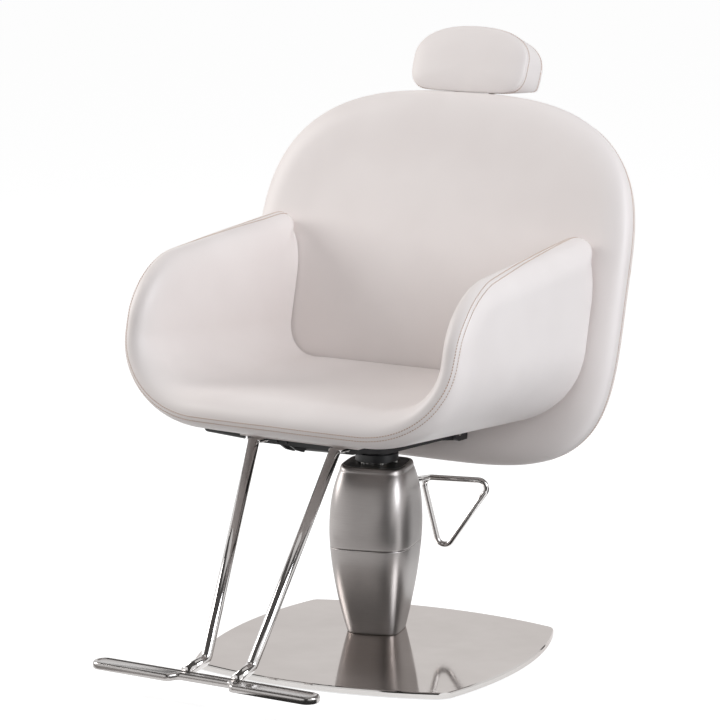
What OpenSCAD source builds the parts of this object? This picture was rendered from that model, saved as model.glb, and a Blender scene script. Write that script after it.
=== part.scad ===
// Threading chair: a padded seat tub and shield-shaped reclining back on a foot-pumped, swivelling column.
// Millimetres, +Z up, the sitter faces -Y. The origin is on the floor, on the swivel axis.

/* [Base plate] */
// Width of the base plate between the middles of two opposite sides
base_w = 540; // [500:5:600]
// How far each side of the plate bows out beyond its corners
base_bow = 40; // [30:1:50]
// Height of the plate's top above the floor
base_top = 12; // [11:0.5:16]
// Thickness of the polished steel skin
skin_t = 2; // [1.5:0.1:2.4]
// Thickness of the rubber pad under the plate
pad_t = 2; // [1:0.1:2.5]
// How far the plate is turned about the swivel axis, in degrees
base_turn = 6.1; // [-15:0.1:15]
// How far the column and its pedal are turned about the swivel axis, in degrees
column_turn = 15.4; // [-15:0.1:25]
// Plate centre from the swivel axis, sideways
base_side = 44; // [20:1:60]
// Plate centre from the swivel axis, forwards
base_ahead = 94; // [60:1:110]

/* [Column] */
// Height of the column cover above the plate
column_h = 293; // [275:1:330]
// Width of the column cover at its foot
column_foot_w = 91; // [90:1:100]
// Width of the column cover at its widest
column_mid_w = 143; // [138:1:155]
// Width of the column cover at its shoulder
column_top_w = 108; // [104:1:116]
// How far the column's belly stands ahead of its foot
column_belly = 16; // [0:1:18]
// Wall of the two cover shells
cover_wall = 2.5; // [2:0.1:3]
// Diameter of the lifting ram
ram_d = 45; // [40:1:48]
// Diameter of the pump cylinder
pump_d = 70; // [66:1:74]
// Travel of the lift
lift_travel = 160; // [120:5:170]

/* [Pedal] */
// Diameter of the bent pedal rod
pedal_d = 10.5; // [9:0.5:12]
// Height of the pedal's pivot above the floor
pedal_z = 238; // [232:1:246]
// Distance of the pedal loop behind the swivel axis
pedal_back = 170; // [150:1:190]
// Length of the loop's top bar
pedal_bar = 128; // [110:1:140]
// Drop from the loop's top bar to its lowest corner
pedal_drop = 139; // [115:1:145]

/* [Seat] */
// Distance between the middles of the two arm walls
tub_w = 594; // [560:2:620]
// Thickness of the padded seat
seat_pad = 62; // [56:1:68]
// Thickness of a padded arm
arm_pad = 50; // [44:1:54]
// Thickness of an arm at its rear end
arm_rear_pad = 68; // [50:1:72]
// Height of the arm crest above the seat's underside at the back
arm_h = 320; // [290:2:335]
// How much the arm crest falls towards the front
arm_fall = 38; // [20:1:60]
// Depth of the seat from the swivel axis to its front edge
seat_ahead = 336; // [320:1:350]
// How much higher the seat's front is than its back
seat_rise = 14; // [0:1:24]

/* [Back] */
// Width of the back
back_w = 736; // [700:2:760]
// Height of the back's widest place above its lower edge
back_low = 340; // [325:1:350]
// Height of the back's top above its widest place
back_up = 281; // [260:1:290]
// Thickness of the padding in front of the back's middle layer
back_front_pad = 24; // [22:0.5:34]
// Width of the roll around the back's face
back_roll = 46; // [30:1:50]
// Thickness of the rear shell behind the middle layer
back_rear_pad = 42; // [40:0.5:46]
// How far the back's lower edge lies behind the swivel axis
back_foot_y = 131.5; // [130:0.5:140]

/* [Headrest] */
// Width of the headrest
head_w = 226; // [200:1:250]
// Height of the headrest
head_h = 123; // [110:1:130]
// Depth of the headrest between its two seams
head_d = 56; // [48:1:66]
// Travel of the headrest on its posts
head_travel = 60; // [30:1:70]
// Diameter of a headrest post
post_d = 12; // [10:0.5:13]

/* [Footrest] */
// Diameter of a footrest tube
foot_tube_d = 19; // [16:0.5:21]
// Length of the foot bar
foot_bar_w = 428; // [380:2:460]
// Height of the foot bar's top above the floor
foot_bar_z = 52; // [48:1:70]
// Distance of the foot bar's middle ahead of the swivel axis
foot_bar_ahead = 532; // [500:1:560]

/* [Hidden] */

// Fits and clearances
cut = 1;                 // overrun of a cut past the face it opens
run_gap = 0.05;          // radial clearance of a pin or ram that turns or slides
bolt_gap = 0.25;         // radial clearance of a bolt in its hole
seat_gap = 0.3;          // between faces that rest on each other through padding
soft_gap = 1;            // between the padded tub and the reclining back
fine = 64;               // facets of a circle

// Base plate
plate_corner = base_w / 2 - base_bow;            // half the distance between two neighbouring corners
plate_r = (plate_corner * plate_corner + base_bow * base_bow) / (2 * base_bow);
edge_round = 3;          // rounding of the skin's top edge
corner_blunt = 5;        // how much the plate's corners are blunted
pad_inset = 8;           // rubber pad inside the plate's outline
core_gap = 0.2;          // between the steel plate and its skin

// Column
cap_z = base_top + column_h;                     // top of the column
waist_share = 0.625;     // where the cover is widest, as a share of its height
seam_share = 0.532;      // where the two shells meet
lower_pow = 1.6;
upper_pow = 2.6;
barrel_n = 4.2;          // squareness of the cover's outline
shoulder_h = 9;          // height of the rounded shoulder
shoulder_in = 4;         // how far the shoulder turns in
cap_t = 5;               // thickness of the dark cap
barrel_sides = 40;
barrel_rings = 9;
slot_w = 25;             // slot for the pedal rod
slot_low = 20;           // slot below the pedal's pivot
slot_high = 11;          // slot above it
seam_gap = 0.3;          // shadow line between the two shells

// Pump
pump_floor = 22;         // solid bottom of the pump
pump_top_gap = 12;       // pump's top below the column cap
ram_gap_z = 12;          // ram's end above the bottom of its bore
bolt_d = 8;
pump_bolt_r = 24;        // pitch radius of the pump's bolts
pump_bolt_head = 14;
pump_bolt_head_t = 3.6;
cheek_t = 8;             // pedal bracket's cheeks
cheek_h = 26;
boss_w = 16;             // width of the pedal's boss
boss_d = 18;
pivot_y = 46;            // pedal's pivot behind the swivel axis
pin_d = 8;
pin_head_d = 13;
pin_head_t = 3;
plunger_d = 10;
plunger_tip_d = 4;
plunger_tip_h = 6;
plunger_arm = 11;        // plunger behind the pedal's pivot
plunger_l = 52;
barrel_l = 58;           // length of the plunger's barrel
barrel_wall = 4;
barrel_drop = 24;        // barrel's top below the pedal's pivot
pedal_rise = 7;          // loop's top bar above the pivot
pedal_near = 35;         // loop's near corner from the middle plane
pedal_low_in = 35;       // loop's lowest corner beyond the near corner
bend_steps = 7;          // steps of a rounded corner
rod_sides = 16;
bend_r = 14;             // rounding of the loop's corners

// Ram and hub
spigot_d = 30;           // ram's spigot in the hub
spigot_h = 30;
ram_over = 2.5;          // ram's shoulder above the cap
washer_t = 2;
hub_r = 29;
hub_rise = 46;           // mounting plate above the cap
collar_r = 37;
collar_t = 5.5;
collar_gap = 5;          // collar above the cap
collar_flange_t = 7;
collar_screw_r = 33;
collar_screw_d = 4;
collar_head_d = 7.5;
collar_head_t = 3.5;
hub_flange = 76;
hub_flange_t = 6;
hub_bolt_pitch = 28;
hub_head_d = 13;
hub_head_t = 5.5;
nut_h = 6;

// Seat frame
rail_x = 100;            // middle of a side rail
rail_t = 8;
rail_h = 26;
rail_rise = 37;          // rail's lower edge above the cap, by its hinge
rail_top = cap_z + rail_rise + rail_h;
rail_tip_y = -244;       // rail's front end
rail_tip_h = 8;
rail_knee_y = -137;      // where the rail's lower edge turns up to its tip
rail_knee_rise = 50;     // its height there above the cap
rail_knee_z = cap_z + rail_knee_rise;
rail_low_y = 40;
rail_low_rise = 41;
rail_low_z = cap_z + rail_low_rise;
plate_t = 8;             // mounting plate
plate_l = 112;
cross_y = -216;          // front cross bar
cross_t = 8;
cross_h = 14;
board_front_y = -250;    // front edge of the seat board
board_rear_y = 66;
board_w = 230;
board_t = 12;
tab_w = 24;              // footrest tabs
tab_t = 6;
tab_l = 46;
board_tab = 18;          // screw tabs on the rails
board_tab_t = 5;
board_screw_d = 5;
board_screw_ys = [-120, 30];
board_screw_head = 10;
board_screw_head_t = 3;
board_screw_in = 10;     // depth of the screw in the board

// Recline hinge
hinge_y = 88;
hinge_rise = 47;         // hinge above the cap
hinge_z = cap_z + hinge_rise;
hinge_eye = 14;          // radius of the eye
hinge_pin_d = 10;
lug_t = 8;
lug_gap = 0.6;

// Gas spring
gas_x = -51;
gas_front_y = -170;
gas_front_rise = 57;
gas_front_z = cap_z + gas_front_rise;
crank_ahead = 4;         // crank pin ahead of the hinge
crank_drop = 49;         // and below it
crank_y = hinge_y - crank_ahead;
crank_z = hinge_z - crank_drop;
gas_d = 22;
gas_body_l = 180;        // length of the cylinder from its front pin
gas_eye_r = 11;
gas_head_l = 20;         // release head ahead of the front pin
gas_rod_d = 8;
gas_rod_in = 80;         // rod inside the cylinder
gas_bore_d = 16;
gas_pin_d = 8;
gap_small = 1.5;
fork_gap = 0.4;
fork_t = 4;
fork_front_y = -224;
fork_high = 12;          // fork's front edge above the gas spring's pin
fork_low = 14;           // fork's lower corner below it
eye_w = 14;              // width of the eyes
rod_eye_r = 10;
rod_eye_hole = 12.6;     // open pivot: room for the pin's small arc
rod_eye_w = 9;
crank_t = 5;
gas_run = crank_y - gas_front_y;
gas_fall = gas_front_z - crank_z;
gas_len = sqrt(gas_run * gas_run + gas_fall * gas_fall);
gas_tilt = atan2(gas_fall, gas_run);

// Release lever
lever_y = -206;
lever_rise = 69.5;
lever_z = cap_z + lever_rise;
lever_d = 8;
lever_neck = 7.5;        // the bent part of the lever
lever_inner = -36;       // inner end of its shaft
lever_bend = -122;       // where it turns to the handle
lever_out = 190;         // tip of the lever from the middle plane
lever_ahead = 24;        // tip ahead of its shaft
lever_up = 10.5;         // and above it
lever_tip = [-lever_out, lever_y - lever_ahead, lever_z + lever_up];
lever_cam = 5;           // thickness of the cam
grip_d = 15;
grip_l = 64;

// Tub
tub_half = tub_w / 2;
tub_flare = 8;           // how much further apart each arm stands at the front
tub_under = rail_top + board_t + seat_gap;       // underside of the tub at its back
seat_front_share = 0.84; // thickness under the middle layer at the front, as a share of that at the back
mid_rear_z = tub_under + seat_pad / 2;           // middle layer of the seat at its back
mid_front_z = mid_rear_z + seat_rise;
crest_rear_z = tub_under + arm_h;
crest_front_z = crest_rear_z - arm_fall;
flat_front_share = 0.52; // flat part of the seat as a share of the half width, at the front
flat_rear_share = 0.67;
corner_front_h = 120;    // height of the corner between seat and arm, at the front
corner_rear_h = 100;
front_sweep = 78;        // how far the front edge sweeps back up the arm
front_sweep_pow = 2.1;
corner_r = 100;          // rounding between the front edge and the crest
rear_corner_r = 32;      // height of the rounding at the rear end of the crest
rear_corner_l = 58;      // its length
nose_reach = 54;         // width of the rolled front edge and crest
tub_depth_ref = 470;     // length of the crest that the two roundings are shares of
tub_tall_ref = 520;      // length around half the tub's section
seat_crown = 7;          // crown of the seat cushion
seat_rear_round = 46;    // rounding under the seat's rear edge
arm_rear_round = 16;
// Columns of the tub's surface: shares of half its section, then shares of the two roundings
section_shares = [0, 0.1, 0.2, 0.29, 0.36, 0.43, 0.5, 0.57, 0.64, 0.7, 0.76];
front_turn_shares = [1, 0.78, 0.54];
rear_turn_shares = [1, 0.66, 0.36, 0.14, 0.03];
// Rows of the tub's surface, as shares of its depth from the front edge
depth_shares = [0, 0.006, 0.024, 0.056, 0.105, 0.21, 0.35, 0.5, 0.65, 0.79, 0.88, 0.94, 0.98, 1];

// Back
back_half = back_w / 2;
back_drop = 15;          // lower edge of the back below the cap
back_z = cap_z - back_drop;
back_mid_z = back_z + back_low;
back_slope = 0.1176;
back_bow_r = 4167;       // length that sets the back's fore-and-aft curve
back_up_n = 2.85;
back_low_n = 4.1;
back_step = 25;          // spacing of the bends
back_dish = 3;           // hollow in the front of the back
back_dish_w = 80;        // width over which the hollow sets in
back_crown = 3;          // crown of the rear shell
seam_off = 20;           // seam between cushion and shell, behind the middle layer
edge_in = 2.4;           // rim of the back, drawn in at the seam
recess_d = 34;           // recess for the board, in from the edge
recess_off = -3;
board_in = 36;           // board's edge, in from the back's edge
back_board_front = -2.6;
back_board_back = 7.2;
bar_front = 7.5;         // steel bars, between board and shell
bar_back = 13.6;
bar_w = 30;
upright_x = 112;
upright_low = 38;        // bar's lower end above the back's lower edge
upright_high = 410;
bar_low = 38;            // lower cross bar's lower edge above the back's lower edge
bar_h = 34;
bar_high = 335;
back_screw_d = 5;
back_screw_head = 10;
back_screw_head_t = 2.4;
back_screw_sink = 2.8;   // depth of the recess for a screw's head
back_screw_at = [120, 260, 390];
back_sides = 44;

// Headrest
head_behind = 44.9;      // middle of the headrest behind the middle layer at the back's top
head_lift = 44;          // middle of the headrest above the back's top
head_upright = 1.57;     // how much less it leans than the back's top, in degrees
head_crown = 14;
head_up_share = 0.504;
head_up_n = 2.3;
head_low_n = 4;
head_clear = 0.6;        // level underside of the headrest above the back's top
head_sides = 36;
head_plate_t = 6;
head_plate_w = 140;
head_plate_h = 50;
post_x = 36;
post_back = 6;           // posts behind the middle of the headrest
post_low = 175;          // posts' length below the headrest's middle
guide_wall = 1.8;
guide_l = 92;
guide_low = 168;         // guides' lower end below the headrest's middle
guide_gap = 0.3;

// Footrest
foot_top_x = 79;
foot_low_x = 44;
foot_bend_in = 70;       // the tubes' bend behind the bar
foot_low_y = foot_bar_ahead - foot_bend_in;
foot_bar_x = 50;
foot_bar_t = 12;
foot_bar_d = 40;
foot_bridge_d = 22;
foot_bridge_w = 118;
foot_ease = 10;
foot_bend_rise = 6;      // and above its top
foot_low_z = foot_bar_z + foot_bend_rise;
foot_top_y = 262;
foot_bolt_in = [26, 39];  // bolts behind the front edge of a tab
foot_bolt_d = 8;
foot_head_t = 3;

steel_black = "#26262a";
chrome = "#c9c9cc";
satin = "#a7a29d";
vinyl = "#e9e4e1";

function lerp(a, b, t) = a + (b - a) * t;
function clip(t) = min(1, max(0, t));
function ease(t) = let (c = clip(t)) c * c * (3 - 2 * c);
function sgn(v) = v < 0 ? -1 : 1;
function sup(c, n) = sgn(c) * pow(abs(c), 2 / n);
// Height of a full round edge at depth d from its tip, as a share of the radius r
function roll(d, r) = let (c = clip(1 - d / r)) sqrt(max(0, 1 - c * c));
function vec_unit(v) = v / norm(v);

// Fore-and-aft line of the back's middle layer, and its lean, at a height
function back_line(z) = let (h = z - back_z) back_foot_y + back_slope * h + h * h / back_bow_r;
function back_lean(z) = atan(back_slope + 2 * (z - back_z) / back_bow_r);
// A point at x, height and offset behind the middle layer
function back_point(x, z, off) = [x, back_line(z) + off * cos(back_lean(z)), z - off * sin(back_lean(z))];

// Outline that is a superellipse with its own squareness above and below its middle
function shield_at(a, w, up, low, nu, nl) =
    let (s = sin(a), c = cos(a), n = s >= 0 ? nu : nl, h = s >= 0 ? up : low)
    [w * sup(c, n), h * sup(s, n)];
// Distance of the outline's tangent from the middle
function shield_reach(p, w, up, low, nu, nl) =
    let (n = p[1] >= 0 ? nu : nl, h = p[1] >= 0 ? up : low,
        g = [sgn(p[0]) * pow(abs(p[0] / w), n - 1) / w, sgn(p[1]) * pow(abs(p[1] / h), n - 1) / h])
    (p * g) / norm(g);
// How far inside the back's outline a point at x and height z lies
function back_inset(x, z) =
    let (v = z - back_mid_z, n = v >= 0 ? back_up_n : back_low_n, h = v >= 0 ? back_up : back_low,
        f = pow(pow(abs(x / back_half), n) + pow(abs(v / h), n), 1 / n))
    max(0, 1 - f) * min(back_half, h);
// Offset of the back's front surface at an inset d
function front_off(d) =
    -back_front_pad * roll(d, back_roll) + back_dish * ease((d - back_roll) / back_dish_w);
// The back's front surface at x and z
function back_front(x, z) =
    let (off = front_off(back_inset(x, z)), zz = z + off * sin(back_lean(z)))
    back_line(zz) + off * cos(back_lean(zz));

// Closed solid from rings of points, with a cap point before the first ring and after the last
module ringed(rings, first, last) {
    count = len(rings[0]);
    points = concat([for (r = rings) for (p = r) p], [first, last]);
    a = len(rings) * count;
    walls = [for (k = [0 : len(rings) - 2]) for (i = [0 : count - 1])
        let (j = (i + 1) % count, p = k * count)
        each [[p + i, p + j, p + count + j], [p + i, p + count + j, p + count + i]]];
    caps = [for (i = [0 : count - 1]) let (j = (i + 1) % count, p = (len(rings) - 1) * count)
        each [[a, j, i], [a + 1, p + i, p + j]]];
    polyhedron(points, concat(walls, caps), convexity = 6);
}

// Ring of the back at an inset and an offset
function back_ring(d, off) = [for (k = [0 : back_sides - 1])
    let (p = shield_at(k * 360 / back_sides, back_half, back_up, back_low, back_up_n, back_low_n),
        r = 1 - d / shield_reach(p, back_half, back_up, back_low, back_up_n, back_low_n))
    back_point(p[0] * r, back_mid_z + p[1] * r, off)];

module back_layer(steps, first_off, last_off) {
    ringed([for (s = steps) back_ring(s[0], s[1])],
        back_point(0, back_mid_z, first_off), back_point(0, back_mid_z, last_off));
}

module rod_between(a, b, d) {
    v = b - a;
    translate(a)
        rotate([0, acos(v[2] / norm(v)), atan2(v[1], v[0])])
            cylinder(d = d, h = norm(v), $fn = fine);
}

module x_rod(x0, x1, y, z, d) {
    translate([x0, y, z]) rotate([0, 90, 0]) cylinder(d = d, h = x1 - x0, $fn = fine);
}

// Base

module plate_outline(shrink, z0, z1, edge) {
    intersection_for (k = [0 : 3])
        rotate(90 * k)
            translate([plate_r - base_w / 2, 0, 0])
                rotate_extrude($fn = 360)
                    polygon([[0, z0], [plate_r - shrink, z0], [plate_r - shrink, z1 - edge],
                        [plate_r - shrink - edge * 0.3, z1 - edge * 0.3], [plate_r - shrink - edge, z1], [0, z1]]);
}

module plate_form(shrink, z0, z1, edge) {
    rotate(base_turn)
        translate([base_side, -base_ahead, 0])
            intersection() {
                plate_outline(shrink, z0, z1, edge);
                translate([0, 0, z0 - cut])
                    cylinder(r = plate_corner * sqrt(2) - corner_blunt - shrink, h = z1 - z0 + 2 * cut, $fn = 180);
            }
}

module pump_holes(d, z, h) {
    for (k = [0 : 3])
        rotate(45 + 90 * k + column_turn) translate([pump_bolt_r, 0, z]) cylinder(d = d, h = h, $fn = fine / 2);
}

module base_pad() {
    color("#303032")
        difference() {
            plate_form(pad_inset, 0, pad_t, 0);
            pump_holes(pump_bolt_head + 2 * bolt_gap, -cut, pad_t + 2 * cut);
        }
}

module base_plate() {
    color("#55565a")
        difference() {
            plate_form(skin_t + core_gap, pad_t, base_top - skin_t - core_gap, 0);
            pump_holes(bolt_d + 2 * bolt_gap, 0, base_top);
            pump_holes(pump_bolt_head + 2 * bolt_gap, pad_t - cut, pump_bolt_head_t + cut);
        }
}

module base_cover() {
    color(chrome)
        difference() {
            plate_form(0, pad_t, base_top, edge_round);
            plate_form(skin_t, pad_t - cut, base_top - skin_t, 0);
            translate([0, 0, pad_t]) cylinder(d = pump_d + 2 * bolt_gap, h = base_top, $fn = fine);
        }
}

pump_z = base_top - skin_t - core_gap;
pump_top = cap_z - cap_t - pump_top_gap;
bore_z = pump_z + pump_floor;
barrel_top = pedal_z - barrel_drop;

module pump_body() {
    color("#3c3f45")
        difference() {
            union() {
                translate([0, 0, pump_z]) cylinder(d = pump_d, h = pump_top - pump_z, $fn = fine);
                rotate(column_turn) {
                    translate([0, pivot_y + plunger_arm, barrel_top - barrel_l])
                        cylinder(d = plunger_d + 2 * barrel_wall, h = barrel_l, $fn = fine);
                    translate([-barrel_wall, 0, barrel_top - barrel_l])
                        cube([2 * barrel_wall, pivot_y + plunger_arm, barrel_l]);
                    for (s = [-1, 1])
                        translate([s * (boss_w + cheek_t + lug_gap) / 2 - cheek_t / 2, 0, pedal_z - cheek_h / 2])
                            cube([cheek_t, pivot_y + cheek_h / 2, cheek_h]);
                }
            }
            translate([0, 0, bore_z]) cylinder(d = ram_d + 2 * run_gap, h = pump_top, $fn = fine);
            pump_holes(bolt_d + 2 * bolt_gap, pump_z - cut, pump_floor / 2 + cut);
            rotate(column_turn) {
                translate([0, pivot_y + plunger_arm, barrel_top - barrel_l + barrel_wall])
                    cylinder(d = plunger_d + 2 * run_gap, h = barrel_l, $fn = fine);
                x_rod(-pump_d, pump_d, pivot_y, pedal_z, pin_d + 2 * run_gap);
            }
        }
}

module pump_bolts() {
    color("#8b8c90")
        for (k = [0 : 3])
            rotate(45 + 90 * k + column_turn)
                translate([pump_bolt_r, 0, 0]) {
                    translate([0, 0, pad_t]) cylinder(d = pump_bolt_head, h = pump_bolt_head_t, $fn = 6);
                    translate([0, 0, pad_t]) cylinder(d = bolt_d, h = pump_z - pad_t + pump_floor / 2 - 1, $fn = fine / 2);
                }
}

// Half the width of the column cover at a height above the plate, as a share of the cover's height
function barrel_half(t) = t > waist_share
    ? column_mid_w / 2 - (column_mid_w - column_top_w) / 2 * pow((t - waist_share) / (1 - waist_share), upper_pow)
    : column_mid_w / 2 - (column_mid_w - column_foot_w) / 2 * pow((waist_share - t) / waist_share, lower_pow);
function belly_at(z) = let (t = (z - base_top) / column_h) column_belly * pow(sin(180 * clip(t)), 0.8);
function barrel_ring(half, z) = [for (k = [0 : barrel_sides - 1])
    let (a = k * 360 / barrel_sides, q = pow(pow(abs(cos(a)), barrel_n) + pow(abs(sin(a)), barrel_n), 1 / barrel_n),
        y = half * sin(a) / q)
    [half * cos(a) / q, y < 0 ? y * (1 + belly_at(z) / half) : y, z]];

// Hollow shell whose outside follows the rings, with a wall of even thickness
module barrel_shell(steps) {
    n = len(steps);
    outer = [for (s = steps) each barrel_ring(s[0], s[1])];
    inner = [for (s = steps) each barrel_ring(s[0] - cover_wall, s[1])];
    m = barrel_sides;
    side = [for (k = [0 : n - 2]) for (i = [0 : m - 1])
        let (j = (i + 1) % m, p = k * m, q = n * m + k * m)
        each [[p + i, p + m + j, p + j], [p + i, p + m + i, p + m + j],
            [q + i, q + j, q + m + j], [q + i, q + m + j, q + m + i]]];
    rims = [for (i = [0 : m - 1])
        let (j = (i + 1) % m, t = (n - 1) * m, q = n * m)
        each [[i, j, q + j], [i, q + j, q + i], [t + i, q + t + j, t + j], [t + i, q + t + i, q + t + j]]];
    rotate(column_turn) polyhedron(concat(outer, inner), concat(side, rims), convexity = 6);
}

module column_cover_lower() {
    color(satin)
        barrel_shell([for (k = [0 : barrel_rings])
            let (t = seam_share * k / barrel_rings)
            [barrel_half(t), base_top + t * column_h - (k == barrel_rings ? seam_gap : 0)]]);
}

module column_cover_upper() {
    shoulder_t = 1 - shoulder_h / column_h;
    shoulder = barrel_half(shoulder_t);
    color(satin)
        difference() {
            barrel_shell(concat(
                [for (k = [0 : barrel_rings])
                    let (t = lerp(seam_share, shoulder_t, k / barrel_rings)) [barrel_half(t), base_top + t * column_h]],
                [for (a = [22.5 : 22.5 : 90])
                    [shoulder - shoulder_in * (1 - cos(a)), cap_z - shoulder_h * (1 - sin(a))]]));
            rotate(column_turn)
                translate([-slot_w / 2, 0, pedal_z - slot_low])
                    cube([slot_w, column_mid_w, slot_low + slot_high]);
        }
}

module column_cap() {
    half = barrel_half(1 - shoulder_h / column_h) - shoulder_in - cover_wall - seat_gap;
    color("#37373a")
        rotate(column_turn)
            difference() {
                translate([0, 0, cap_z - cap_t])
                    linear_extrude(cap_t) polygon([for (p = barrel_ring(half, cap_z)) [p[0], p[1]]]);
                translate([0, 0, cap_z - 2 * cap_t])
                    cylinder(d = ram_d + 2 * bolt_gap, h = 3 * cap_t, $fn = fine);
            }
}

// Pedal

module pedal_pin() {
    half = boss_w / 2 + cheek_t + lug_gap;
    color(chrome)
        rotate(column_turn) {
            x_rod(-half, half, pivot_y, pedal_z, pin_d);
            x_rod(half, half + pin_head_t, pivot_y, pedal_z, pin_head_d);
        }
}

// Points and directions along a route whose corners are rounded with radius r
function corner_cut(a, p, b, r) = r / tan(acos(vec_unit(a - p) * vec_unit(b - p)) / 2);
function corner_points(a, p, b, r) =
    let (u = vec_unit(a - p), v = vec_unit(b - p), half = acos(u * v) / 2, reach = r / tan(half),
        hub = p + vec_unit(u + v) * (r / sin(half)),
        e = vec_unit(p + u * reach - hub), f = -cross(vec_unit(cross(u, v)), e))
    [for (k = [0 : bend_steps]) let (t = (180 - 2 * half) * k / bend_steps)
        [hub + r * (e * cos(t) + f * sin(t)), f * cos(t) - e * sin(t)]];
function route(path, r) = let (n = len(path) - 1) concat(
    [[path[0], vec_unit(path[1] - path[0])]],
    [for (i = [1 : n - 1]) each corner_points(path[i - 1], path[i], path[i + 1], r)],
    [[path[n], vec_unit(path[n] - path[n - 1])]]);
function loop_route(path, r) = let (n = len(path))
    [for (i = [0 : n - 1]) each corner_points(path[(i + n - 1) % n], path[i], path[(i + 1) % n], r)];
// Ring of a round rod at a point of its route; side is square to the plane that the route lies in
function rod_ring(point, along, side, d) = let (over = cross(side, along))
    [for (k = [0 : rod_sides - 1]) let (t = 360 * k / rod_sides) point + d / 2 * (side * cos(t) + over * sin(t))];

module bent_rod(path, r, d) {
    side = vec_unit(cross(path[1] - path[0], path[2] - path[1]));
    stations = route(path, r);
    ringed([for (q = stations) rod_ring(q[0], q[1], side, d)], path[0], path[len(path) - 1]);
}

module rod_loop(path, r, d) {
    side = vec_unit(cross(path[1] - path[0], path[2] - path[1]));
    stations = loop_route(path, r);
    n = len(stations);
    m = rod_sides;
    points = [for (q = stations) each rod_ring(q[0], q[1], side, d)];
    faces = [for (k = [0 : n - 1]) for (i = [0 : m - 1])
        let (j = (i + 1) % m, p = k * m, q = ((k + 1) % n) * m)
        each [[p + i, p + j, q + j], [p + i, q + j, q + i]]];
    polyhedron(points, faces, convexity = 4);
}

module pedal() {
    top = pedal_z + pedal_rise;
    a = [pedal_near, pedal_back, top];
    b = [pedal_near + pedal_bar, pedal_back, top];
    v = [pedal_near + pedal_low_in, pedal_back, top - pedal_drop];
    stem = [pedal_near / 2, pedal_back - pedal_near, top];
    color(chrome)
        rotate(column_turn)
            difference() {
                union() {
                    x_rod(-boss_w / 2, boss_w / 2, pivot_y, pedal_z, boss_d);
                    bent_rod([[0, pivot_y, pedal_z], stem, a + [bend_r, 0, 0]], bend_r, pedal_d);
                    rod_loop([a, v, b], bend_r, pedal_d);
                }
                x_rod(-boss_w, boss_w, pivot_y, pedal_z, pin_d + 2 * run_gap);
            }
}

module pump_plunger() {
    stem_rise = pedal_rise * (plunger_arm - plunger_tip_d / 2) / (pedal_back - pedal_near - pivot_y);
    top = pedal_z + stem_rise - pedal_d / 2 - seat_gap;
    color(chrome)
        rotate(column_turn)
            translate([0, pivot_y + plunger_arm, 0]) {
                translate([0, 0, top - plunger_l]) cylinder(d = plunger_d, h = plunger_l - plunger_tip_h, $fn = fine);
                translate([0, 0, top - plunger_tip_h]) cylinder(d = plunger_tip_d, h = plunger_tip_h, $fn = fine);
            }
}

// Lift and swivel

ram_top = cap_z + ram_over;
hub_z = ram_top + washer_t;
plate_z = cap_z + hub_rise;

module lift_ram() {
    color(chrome) {
        translate([0, 0, bore_z + ram_gap_z]) cylinder(d = ram_d, h = ram_top - bore_z - ram_gap_z, $fn = fine);
        translate([0, 0, ram_top]) cylinder(d = spigot_d, h = spigot_h, $fn = fine);
    }
}

module thrust_washer() {
    color("#b08d4a")
        translate([0, 0, ram_top])
            difference() {
                cylinder(d = ram_d - 1, h = washer_t, $fn = fine);
                translate([0, 0, -cut]) cylinder(d = spigot_d + 2 * bolt_gap, h = washer_t + 2 * cut, $fn = fine);
            }
}

flange_z = cap_z + collar_gap + collar_t;

module hub_bolt_holes(d, z, h) {
    for (sx = [-1, 1], sy = [-1, 1])
        translate([sx * hub_bolt_pitch, sy * hub_bolt_pitch, z]) cylinder(d = d, h = h, $fn = fine / 2);
}

module collar_holes(d, z, h) {
    for (k = [0 : 5])
        rotate(60 * k + 15) translate([collar_screw_r, 0, z]) cylinder(d = d, h = h, $fn = fine / 2);
}

module swivel_hub() {
    color(steel_black)
        difference() {
            union() {
                translate([0, 0, hub_z]) cylinder(r = hub_r, h = plate_z - hub_z, $fn = fine);
                translate([0, 0, flange_z]) cylinder(r = collar_r, h = collar_flange_t, $fn = fine);
                translate([-hub_flange / 2, -hub_flange / 2, plate_z - hub_flange_t])
                    cube([hub_flange, hub_flange, hub_flange_t]);
            }
            translate([0, 0, hub_z - cut])
                cylinder(d = spigot_d + 2 * run_gap, h = ram_top + spigot_h - hub_z + cut + seat_gap, $fn = fine);
            hub_bolt_holes(bolt_d + 2 * bolt_gap, plate_z - hub_flange_t - cut, hub_flange_t + 2 * cut);
            collar_holes(collar_screw_d + 2 * bolt_gap, flange_z - cut, collar_flange_t / 2 + cut + bolt_gap);
        }
}

module bearing_collar() {
    color(steel_black)
        translate([0, 0, flange_z - collar_t])
            difference() {
                cylinder(r = collar_r, h = collar_t, $fn = fine);
                translate([0, 0, -cut]) cylinder(r = hub_r + bolt_gap, h = collar_t + 2 * cut, $fn = fine);
                collar_holes(collar_screw_d + 2 * bolt_gap, -cut, collar_t + 2 * cut);
            }
}

module collar_screws() {
    color(chrome) {
        collar_holes(collar_head_d, flange_z - collar_t - collar_head_t, collar_head_t);
        collar_holes(collar_screw_d, flange_z - collar_t - collar_head_t, collar_head_t + collar_t + collar_flange_t / 2);
    }
}

module hub_bolts() {
    head_z = plate_z - hub_flange_t - hub_head_t;
    color(chrome)
        for (sx = [-1, 1], sy = [-1, 1])
            translate([sx * hub_bolt_pitch, sy * hub_bolt_pitch, head_z]) {
                cylinder(d = hub_head_d, h = hub_head_t, $fn = 6);
                cylinder(d = bolt_d, h = hub_head_t + hub_flange_t + plate_t + nut_h + 1, $fn = fine / 2);
            }
}

module nut(d, h) {
    difference() {
        cylinder(d = d, h = h, $fn = 6);
        translate([0, 0, -cut]) cylinder(d = bolt_d + 2 * bolt_gap, h = h + 2 * cut, $fn = fine / 2);
    }
}

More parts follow.
